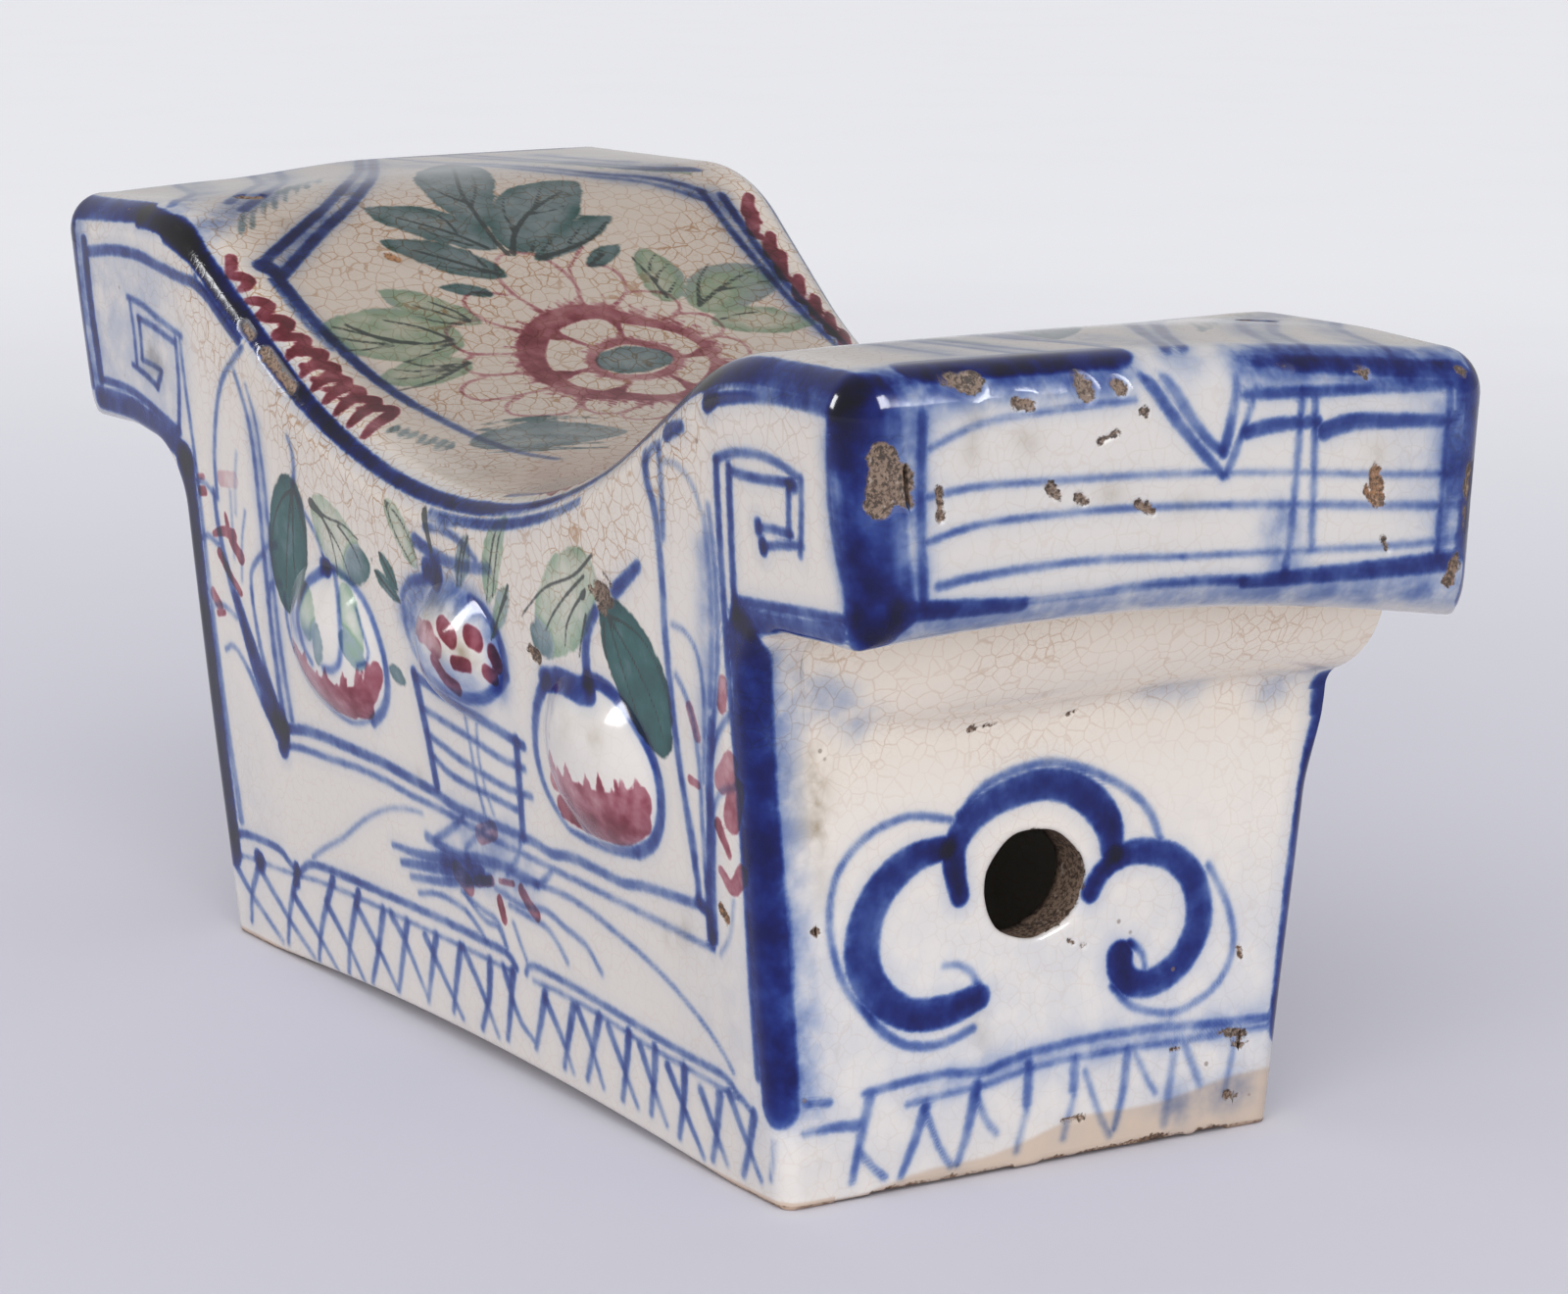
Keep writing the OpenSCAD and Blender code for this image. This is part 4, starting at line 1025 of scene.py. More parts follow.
class TopPainting:
    """Brushwork of half the saddle: the ruled panel, a peony spray, scroll bands and the head's washes."""

    def __init__(self, art: Painting, face: Face) -> None:
        """Lay every mark of one half of the top.

        Args:
            art: The painting that takes the marks.
            face: The top as seen, or turned half round.
        """
        self.art = art.on(face)
        self.panel()
        self.peony()
        self.dark_leaves()
        self.green_leaves()
        self.scrolls()
        self.head()

    def panel(self) -> None:
        """Double lines of the pointed panel."""
        blue, wash = self.art.blue, self.art.mark
        blue(
            (2.6, 2.4, 2, 1.8), (1.9, 1.7, 1.2, 0.8), -88-43j, -80-41.8j, -70-39.8j, -60-37.8j, -50-35.4j,
            -40-32.6j, -30-30.2j, -20-27.4j, -12-24j)
        blue((1.2, 1), (0.9, 0.5), -87-44.2j, -78-43j, -68-41j)
        blue(3.8, 1.5, -90.6-44.4j, -89.4-43.4j, sharp=True)
        blue(
            (2.4, 1.9), (1.8, 1.1), -91.6-43j, -95-36j, -98.4-29.4j, -101.4-24.4j, -106-18.8j, -112-13.8j,
            -120-9j, -141+1j)
        blue(
            (2.6, 1.9), (1.8, 1.1), -87.2-41.6j, -90.8-35.4j, -94.6-29j, -98.8-22j, -104-15.6j, -110-11j,
            -120-6j, -141+4j)
        wash(Ink.WASH, 3, (0.4, 0.25), -90-40j, -96.6-29j, -104.6-17.6j, -120-7.6j)
        blue((1.9, 1.5), (1.7, 1.1), -79.6+49.9j, -70+49.9j, -60+50.5j, -50+52j, -40+53j, -24+53.4j)
        blue((1.8, 1.4), (1.6, 1), -80.6+46j, -70+46.8j, -60+48j, -50+49.8j, -40+51j, -24+51.4j)
        wash(Ink.WASH, 2.6, 0.4, -80+48j, -60+49.2j, -44+51.2j)
        blue(
            (1.8, 1.4), (1.2, 0.9), -81+46.4j, -86+41.6j, -92+36.6j, -98+31j, -103+26.4j, -108+20j, -114+15j,
            -124+9j, -141+5j)
        blue(
            (1.6, 1.2), (0.6, 0.45), -79+45j, -84+39.4j, -90+34j, -96+28.4j, -101+23.4j, -107+16.4j,
            -114+11.4j, -126+6j)
        wash(Ink.WASH, 4, 0.4, -82+43.6j, -91+35.4j, -102+25j, -113+13.6j)

    def feathers(self, path: Array, centre: Pair, step: float, reach: float, load: float) -> None:
        """Comb short red spikes outwards from a path.

        Args:
            path: Points of the path.
            centre: The flower's middle.
            step: Spacing of the spikes.
            reach: Mean length of the spikes.
            load: Strength of the spikes.
        """
        along = np.concatenate([[0], np.cumsum(np.linalg.norm(np.diff(path, axis=0), axis=1))])
        for k, s in enumerate(np.arange(0, along[-1], step)):
            x, y = np.interp(s, along, path[:, 0]), np.interp(s, along, path[:, 1])
            away = np.array([x - centre[0], y - centre[1]])
            away /= np.hypot(*away)
            far = reach * (0.75 + 0.3 * math.sin(2.4 * k) + 0.2 * math.sin(5.3 * k + 1))
            self.art.red((0.9, 0.35), load, complex(x, y), complex(x + far * away[0], y + far * away[1]))

    def peony(self) -> None:
        """Peony: teal heart, feathered rings, cream petals and thin outer petals."""
        art, heart = self.art, (-43.2, 9.4)
        art.leaf(9.6, (0.44, 0.36, 0.42), -43.8+2.6j, -43.2+9.4j, -42.2+16.4j)
        inner = through(
            (-49+8.4j, -48.2+4.2j, -45.8+1.8j, -42.8+1.2j, -39.8+2.6j, -37.8+6j, -37+10j, -38+14j,
             -40.6+17.2j, -44+16.8j, -46.8+13.8j, -48.6+11j, -49+8.4j),
            0.8, False)
        art.red(2.2, 0.45, *inner)
        self.feathers(inner, heart, 0.95, 2.4, 0.5)
        ring = (
            -58.6+5j, -58+0j, -55.6-4.6j, -51.6-7.7j, -47-8.9j, -42-8j, -38-6.6j, -34.6-3.2j, -31.6+2j,
            -29.2+6j, -28.4+10.4j, -30.4+15.4j, -33.6+20j, -37.6+23.4j, -41.6+24.4j, -45.6+24.2j, -49+22j,
            -52+18j, -54.6+13.6j, -57.4+9.6j, -58.6+5j)
        outer = through(ring, 0.8, False)
        art.red((5, 5.6, 4.4, 3, 2, 2.2, 3, 4.8), (0.9, 0.9, 0.8, 0.62, 0.55, 0.55, 0.7, 0.9), *ring)
        self.feathers(outer, heart, 0.75, 4.4, 0.72)
        for width, *line in (
            (5, -55.8-2.6j, -52.6+0.8j), (4, -43.2-6.4j, -43-2.6j), (4, -33.6-0.6j, -35.2+3j),
            (4.4, -56+11.6j, -52.4+11.2j), (3, -41.6+23j, -41.2+20j), (3.2, -31+14.4j, -33.8+13.6j),
        ):
            art.red((width, 0.8), 0.85, *line)
        for line in (
            (-54-0.4j, -51.6+1.6j, -49.2+3.6j), (-43-3.8j, -43.2+0.6j), (-34.8+2.2j, -36.6+5j),
            (-53.4+11.4j, -49.4+10.6j), (-41.2+20.6j, -41.4+17.4j), (-33.4+13.8j, -37.4+12.6j),
        ):
            art.red((1.3, 0.9), 0.62, *line)
        for line in (
            (-61-0.5j, -66-3j, -70-4j, -73.5-3.4j, -75.6-2j, -76.4+0.5j, -75.5+3j, -73.6+6j, -70+8j, -65.5+9j,
             -61+8j, -59+7.2j),
            (-67-4.6j, -69-8j, -69.8-11j, -68.6-12.8j, -66-13j, -62-11j, -59.4-8.6j, -57-5.4j),
            (-63.2-12.4j, -64-17j, -63-19.4j, -60.5-20j, -57.5-19.4j, -55.4-17.6j, -53.6-13.6j, -52.2-10j),
            (-55-17j, -54.4-20j, -51.5-20.8j, -49-18.4j, -47.6-15j, -46.6-11j),
            (-48.6-18j, -48.2-23j, -46-25j, -43-24j, -41.4-21.4j, -40.4-16j, -40.2-9j),
            (-39.8-16j, -38.6-19.6j, -35.6-20.8j, -33-18.6j, -31-14j, -30.6-11j, -32.6-8j, -35.4-6.2j),
            (-34-6.4j, -31-8j, -28-7j, -26.6-4.6j, -26.4-2j, -27.6+3j, -28.4+5.4j),
            (-26.4-1.4j, -25.2-3.4j, -23-3j, -21+0.4j, -21.4+5j, -24+8j, -27.6+9j),
            (-73.4+15j, -71+12j, -69+9.8j, -65.6+9j),
            (-69+13.4j, -67.8+16.8j, -64.5+18.4j, -61+17.6j, -59+15j, -57.8+12.4j),
            (-60.6+17.6j, -59.6+22j, -58+25j, -55+25.8j, -53+24j, -52+20j),
            (-53+24.6j, -52+29j, -49.6+31j, -47+30.6j, -45.6+28j, -45.4+25.6j),
            (-46+28j, -43.6+32j, -39.6+32j, -37+29j, -37.4+25j), (-37.4+28j, -33+29j, -29.4+25.6j, -30+20.4j),
            (-29.4+24j, -25+22.4j, -23+17.4j, -25.6+12j),
        ):
            art.red(0.8, 0.42, *line)

    def dark_leaves(self) -> None:
        """Dark leaves behind the peony."""
        art = self.art
        for row in (
            (16, 0.34, -77+2.6j, -85.4+11.4j, -92.6+23.6j), (15.5, 0.38, -84.6-0.6j, -98+1.2j, -116+8.4j),
            (10.5, 0.36, -78-1.2j, -87-8.4j, -98-19.4j), (8.6, 0.36, -71.6-3j, -77.4-9j, -87.4-20.4j),
            (7.4, 0.35, -73.2+5.4j, -76.2+14j, -78.8+24.4j), (4.6, 0.35, -68.6+14j, -70.4+18j, -71.8+22.4j),
            (3.8, 0.33, -68-7j, -70.6-10.6j, -73.2-15.4j),
        ):
            art.leaf(*row)
        for width, *line in (
            (1.3, -75.6+1.4j, -80+4j, -84+9j, -86.4+13.6j, -89+19j),
            (0.9, -85+10.8j, -88.6+13.6j, -92.6+16.4j), (0.8, -80+4j, -86+5j, -91+7.4j),
            (0.7, -84+9j, -83.4+13j, -84+17j), (1.1, -76+0.4j, -81-0.4j, -88-0.2j, -97+1.4j, -112+7j),
            (0.8, -90+0j, -97+4.6j, -104+7.4j), (0.8, -92+0.2j, -98-2.6j, -104-4j),
            (0.9, -78.4-2.4j, -86-8.6j, -92.6-14.6j), (0.7, -80-5j, -84-9.4j, -88.6-12.4j),
            (0.8, -84-6j, -90-7j, -94-9.6j), (1, -72-3.4j, -77-9j, -83-16j), (0.7, -73-5j, -76-10j, -79-15j),
            (0.8, -74.6-5j, -79.4-6.2j), (1.3, -73.2+6j, -73.6+12j, -75+18j, -77.6+22.6j),
            (0.8, -74.6+7j, -77.4+11.6j), (0.8, -75+13j, -78.6+18.4j), (1, -69+14.6j, -70.6+18.4j),
            (0.7, -70+16j, -72+18.6j), (0.9, -68.2-7.4j, -70-10.4j), (0.9, -75+5j, -77.4+7j),
            (1, -76.6+1.2j, -78+3j),
        ):
            art.vein(*line, width=width)

    def green_leaves(self) -> None:
        """Green and grey leaves round the peony."""
        art = self.art
        for row in (
            (9, (0.82, 0.78), -57+24.2j, -63+26j, -69.6+26j),
            (12.6, (0.84, 0.66, 0.62), -53.8+29.2j, -57.8+38j, -58.4+50j),
            (8.6, 0.86, -49.8+30j, -48.6+39j, -46.8+51j),
            (7.6, (0.9, 0.84, 0.77), -62.6-13j, -69-19j, -77-26.6j),
            (16.4, (0.78, 0.77, 0.77), -60-18.8j, -66-29j, -72.6-40j),
            (9, (0.84, 0.82, 0.78), -53.6-19.4j, -54.6-28j, -56.4-37j),
            (13, 0.56, -27.4-32j, -25.6-24.8j, -23.6-18j, -18-6.6j),
        ):
            art.leaf(*row)
        for k in range(16):
            s, sway = k / 15, math.sin(2.1 * k)
            art.mark(
                Ink.LEAF, (0.5, 1.2, 0.3), 0.34 + 0.05 * (k % 4),
                complex(-34.4 + 12.4 * s, -27.2 - 3.6 * s + 1.2 * sway),
                complex(-31 + 13.6 * s, -15.5 - 7 * s), complex(-26 + 14 * s, -8 - 6 * s + 2.4 * sway))
        for k in range(7):
            x, y = -42.6 + 2 * k, -39.4 + 0.8 * k
            art.mark(
                Ink.LEAF, (0.5, 1.9, 0.5), 0.5 + 0.09 * (k % 3), complex(x, y), complex(x + 1.2, y - 1.6),
                complex(x + 1.6 + k % 2, y - 3.6))
        for width, *line in (
            (0.9, -57.4+24.4j, -63+24j, -68.4+23j), (0.8, -58.4+25.4j, -61.8+29.6j),
            (0.8, -61.6+24.4j, -63.4+26j, -65.2+29.2j), (0.8, -64.4+24.6j, -66.6+26j, -68+28j),
            (1, -54.2+29.6j, -57.4+36j, -59.6+42j, -60.8+47j), (0.9, -54.6+29.8j, -60+33j, -63.8+37.6j),
            (0.7, -57+35.6j, -57.4+43j, -57.8+48j), (0.7, -50+32j, -50.6+36j, -50.6+40.6j),
            (0.8, -63.4-14j, -67-15.6j, -71-19j), (0.7, -63.6-14.6j, -68-18.6j, -71.6-22.4j),
            (0.7, -63.4-16j, -66-20j, -68.6-22.6j), (0.9, -60.6-19.4j, -66-23.6j, -70.4-29j),
            (1, -60.4-19.6j, -61-23j, -62.8-26.6j), (1.2, -62.4-26j, -66-31j, -72.4-36j),
            (0.9, -64.6-29j, -69-34j, -73-38.4j), (0.8, -64.6-31j, -68-36j, -71-39.4j),
            (0.8, -63.8-30j, -65-35j, -66.8-39j), (0.9, -59.6-19.4j, -59-25j, -58.8-30j),
            (1.1, -53.6-19.6j, -51.6-28j, -52.2-35j), (0.8, -54-21.6j, -56-27j, -59-30.4j),
            (0.8, -54-22.4j, -55.4-29j, -58-33j), (0.8, -53.2-23.6j, -54-30j, -55.6-34.4j),
        ):
            art.vein(*line, width=width)

    def scrolls(self) -> None:
        """Red scrolls along the front and back edges."""
        red = self.art.red
        red(2.4, 1.2, -94-49.2j, -92-50j, -90.4-51.8j)
        for x, y, fall in (
            (-88.6, -48.2, 4.6), (-82.4, -47, 4.4), (-77.6, -45.3, 5.4), (-72.6, -44.3, 6), (-68, -43, 6.6),
            (-63.8, -42.5, 7), (-59.6, -42.1, 7.4), (-56, -41.2, 7.4), (-51.8, -40, 7.8), (-47.6, -38.5, 8.4),
        ):
            run = 0.62 * fall
            red(
                (1.9, 2.6, 2.9, 2.3, 1.9), (1.05, 1.2, 1.15, 1.05), complex(x - 3.0, y - 4.8),
                complex(x - 1.9, y - 3.4), complex(x - 1.2, y - 1.4), complex(x + 0.1, y),
                complex(x + 1.5, y - 1.2), complex(x + 0.55 * run, y - 0.55 * fall),
                complex(x + run, y - fall))
        for x, y in (
            (-76.8, 54.6), (-72.6, 53.2), (-66.8, 53.6), (-62, 53.2), (-56, 53.4), (-51, 54), (-46.4, 54.4),
            (-41.6, 54.6),
        ):
            red(
                (2.2, 3, 1.8), 1.15, complex(x - 2.2, y + 1.2), complex(x + 0.4, y - 0.6),
                complex(x + 3.2, y - 2.0), complex(x + 4.4, y - 0.6))

    def head(self) -> None:
        """Pale washes and loose lines on the head's top."""
        art = self.art
        for width, load, *line in (
            (6.5, 0.30, -107-37j, -112-32.6j, -120-26.6j, -142-19j), (5, 0.3, -100.6-52j, -103-47j, -106-41j),
            (4.4, 0.32, -108-54j, -113-47.4j, -120-42.6j, -142-36j), (6, 0.2, -112+34j, -126+26j, -142+22j),
            (7, 0.2, -104+50j, -120+46j, -142+42j), (8, 0.16, -116+2j, -130-2j, -142-4j),
        ):
            art.mark(Ink.WASH, width, load, *line)
        for line in (
            (-104-42j, -108-35j, -114-28.6j, -128-22j, -142-17j),
            (-107-43.6j, -112-37j, -118-31.6j, -130-26.6j, -142-23j),
            (-110-54j, -115-48.6j, -122-44.6j, -142-39j), (-93+52j, -104+38j, -116+29j, -130+22j, -142+18j),
            (-97+53j, -108+41j, -120+33j, -142+25j), (-118+52j, -130+46j, -142+42j),
        ):
            art.blue((2.4, 1.7), (0.95, 0.7), *line)
        for k in range(8):
            x, y = -97.6 - 1.5 * k, -45.4 + 3.1 * k
            art.leaf(1.5, 0.55, complex(x, y), complex(x - 3.4, y + 1.6), complex(x - 6.6, y + 4.4))
        for k in range(6):
            x, y = -88 - 4.6 * k, 48 - 4.2 * k
            art.leaf(2.8, 0.9, complex(x, y), complex(x - 5, y - 0.6), complex(x - 11, y - 4))
        for row in (
            (Ink.CHIP, 3.6, 0.25, -108.4-39.6j, -107.4-37.4j), (Ink.CHIP, 2.2, 1.3, -83.6-21j, -82-19.4j),
            (Ink.STAIN, 2, 0.7, -83.4-13j, -82-17.6j), (Ink.STAIN, 1, 0.6, -98.8-35.6j, -98.6-37.6j),
        ):
            art.mark(*row)


def paint_edges(art: Painting) -> None:
    """Lay the dark bands that run along the pillow's upright corners and top edges.

    Args:
        art: The painting that takes the marks.
    """
    form = art.form
    for side in (-1, 1):
        for end in (-1, 1):
            bold = side * end < 0
            z = np.linspace(93, 17, 40)
            shift = 1.2 if bold else (4.6 if side < 0 else 2.4)
            near = form.half_x(z) - shift
            art.lay(Ink.COBALT, np.stack([form.body_mid + end * near, side * (form.outer_y(z) - 0.3), z], 1),
                    (8.4, 7.4, 8.4, 7.6), (1.2, 1.0, 1.25, 1.05, 1.35))
            if bold:
                art.lay(
                    Ink.WASH,
                    np.stack([form.body_mid + end * (near + 1), side * (form.outer_y(z) - 4.8), z], 1), 3.2,
                    (0.6, 0.4, 0.55))
        for end in (-1, 1):
            z = np.linspace(131, 96, 20) if side * end < 0 else np.linspace(131, 98, 20)
            x = np.full_like(z, end * (form.length / 2 - 1.8))
            width, load = (9.0, (0.7, 0.4, 0.5, 0.8)) if side * end < 0 else (3.6, 1.2)
            art.lay(Ink.COBALT, np.stack([x, side * (form.outer_y(z) - 1.8), z], 1), width, load)
        left, right = form.body_mid - form.half_body - 6, form.body_mid + form.half_body - 8
        x = np.linspace(left, right, 160)
        if side > 0:
            x = 2 * form.body_mid - x
        share = np.linspace(-1, 1, 160)
        half = np.interp(
            share, (-1, -0.55, -0.3, -0.1, 0.24, 0.32, 0.44, 0.57, 0.7, 0.82, 1),
            (2.6, 1.9, 1.5, 1.4, 1.5, 1.1, 0.85, 0.7, 0.9, 1.5, 2.4))
        load = np.interp(share, (-1, -0.3, 0.1, 0.4, 0.7, 1), (2.8, 2.3, 1.9, 1.6, 1.4, 1.7))
        inset, sink = np.interp(share, (-1, -0.2), (0.7, 1.8)), np.interp(share, (-1, -0.2), (2.8, 2.2))
        band = np.stack([x, form.edge_y(x, side) - side * inset, form.edge_z(x, side) - sink], 1)
        art.strokes.append(Stroke(Ink.COBALT, band, half, load))
        art.lay(Ink.COBALT, band[4:22], (1.0, 7.0, 5.6, 2.0), (0.4, 1.2, 0.9))
        low = np.stack([x, form.edge_y(x, side) - side * 0.3, form.edge_z(x, side) - 4.7], 1)[86:128]
        art.lay(Ink.COBALT, low, (1.4, 2.1, 1.4), (1.3, 1.7, 1.2))
        for end, reach in ((-1, left), (1, right)):
            start = reach if side < 0 else 2 * form.body_mid - (right if end < 0 else left)
            x = np.linspace(start, end * (form.length / 2 - 3), 30)
            rim = np.stack([x, form.edge_y(x, side) - side * 1.5, form.edge_z(x, side) - 2.0], 1)
            art.lay(Ink.COBALT, rim, (5.2, 6.4), (2.2, 1.5, 1.0, 1.2))
        worn = -side
        for width, tone, x0, x1, drop in (
            (2.6, 0.3, -58, -48, 2.4), (1.8, 0.2, -66, -63, 3.0), (1.6, 0.5, -94, -92, 1.2),
            (1.8, 0.4, 93, 96, 1.6), (1.3, 0.3, 62, 64, 2.0), (1.6, 0.3, -118, -115, 1.4),
            (1.2, 0.4, -131, -129, 1.8), (1.4, 0.2, 118, 121, 1.4),
        ):
            x = form.body_mid + worn * (np.linspace(x0, x1, 8) - form.body_mid)
            art.lay(
                Ink.CHIP, np.stack([x, form.edge_y(x, side) - side * 0.8, form.edge_z(x, side) - drop], 1),
                width, tone)
    for end in (-1, 1):
        for y in (np.linspace(-52, -14, 20) * end, np.linspace(12, 52, 20) * end):
            x = np.full_like(y, end * (form.length / 2 - 2.2))
            art.lay(Ink.WASH, np.stack([x, y, form.ruled(x, y, True) - 1.8], 1), 6.0, (0.9, 0.6, 0.8))
        y = np.linspace(-46, -12, 20) * end
        x = np.full_like(y, end * (form.length / 2 - 3.2))
        art.lay(Ink.COBALT, np.stack([x - 1.6 * end, y, form.ruled(x, y, True) - 0.6], 1), 7.4, (1.5, 1.2))


@dataclass
class Socket:
    """A shader socket whose operators add Math nodes."""

    tree: Tree
    link: bpy.types.NodeSocket

    def math(self, operation: str, first: Socket | float, second: Socket | float) -> Socket:
        """Add one Math node."""
        return self.tree.node("ShaderNodeMath", {"operation": operation}, {0: first, 1: second})

    def __add__(self, other: Socket | float) -> Socket:
        """Add."""
        return self.math("ADD", self, other)

    __radd__ = __add__

    def __sub__(self, other: Socket | float) -> Socket:
        """Subtract."""
        return self.math("SUBTRACT", self, other)

    def __rsub__(self, other: Socket | float) -> Socket:
        """Subtract from a number."""
        return self.math("SUBTRACT", other, self)

    def __mul__(self, other: Socket | float) -> Socket:
        """Multiply."""
        return self.math("MULTIPLY", self, other)

    __rmul__ = __mul__

    def __rpow__(self, other: float) -> Socket:
        """Raise a number to this power."""
        return self.math("POWER", other, self)

    def most(self, other: Socket | float) -> Socket:
        """Take the larger."""
        return self.math("MAXIMUM", self, other)

    def ease(self, low: float, high: float) -> Socket:
        """Ease from 0 at low to 1 at high."""
        return self.tree.node(
            "ShaderNodeMapRange", {"interpolation_type": "SMOOTHSTEP"}, {0: self, 1: low, 2: high})


class Tree:
    """One material's nodes."""

    def __init__(self, name: str) -> None:
        """Start an empty material.

        Args:
            name: Name of the material.
        """
        self.material = bpy.data.materials.new(name)
        self.material.use_nodes = True
        self.nodes = self.material.node_tree.nodes
        self.nodes.clear()

    def node(
            self, kind: str, settings: dict | None = None, sockets: dict | None = None,
            out: int | str = 0) -> Socket:
        """Add any node.

        Args:
            kind: The node's type.
            settings: Properties that are set first.
            sockets: Values or links by socket index or name.
            out: Output that is returned.

        Returns:
            The chosen output.
        """
        made = self.nodes.new(kind)
        for name, value in (settings or {}).items():
            if name == "stops":
                ramp = made.color_ramp.elements
                while len(ramp) < len(value):
                    ramp.new(1.0)
                for stop, (at, colour) in zip(ramp, value):
                    stop.position, stop.color = at, (*colour, 1.0)
            else:
                setattr(made, name, value)
        for key, value in (sockets or {}).items():
            if isinstance(value, Socket):
                self.material.node_tree.links.new(value.link, made.inputs[key])
            else:
                made.inputs[key].default_value = value
        return Socket(self, made.outputs[out]) if made.outputs else Socket(self, None)

    def colour(
            self, factor: Socket | float, first: Socket | tuple, second: Socket | tuple,
            blend: str = "MIX") -> Socket:
        """Mix two colours."""
        pads = [c if isinstance(c, Socket) else (*c, 1.0) for c in (first, second)]
        return self.node(
            "ShaderNodeMix", {"data_type": "RGBA", "blend_type": blend}, {0: factor, 6: pads[0], 7: pads[1]},
            2)

    def noise(self, where: Socket, scale: float, detail: float = 2.0, rough: float = 0.5) -> Socket:
        """Add a noise value between 0 and 1."""
        return self.node(
            "ShaderNodeTexNoise", None,
            {"Vector": where, "Scale": scale, "Detail": detail, "Roughness": rough})

    def field(self, name: str) -> tuple[Socket, Socket, Socket]:
        """Read one packed attribute as three values."""
        vector = self.node("ShaderNodeAttribute", {"attribute_name": name}, None, "Vector")
        split = self.node("ShaderNodeSeparateXYZ", None, {0: vector}).link.node
        return tuple(Socket(self, split.outputs[k]) for k in range(3))

    def stain(self, density: Socket, through_it: Sequence[float]) -> Socket:
        """Turn a density into the colour that passes through a pigment."""
        parts = {k: t ** density for k, t in enumerate(through_it)}
        return self.node("ShaderNodeCombineColor", None, parts)


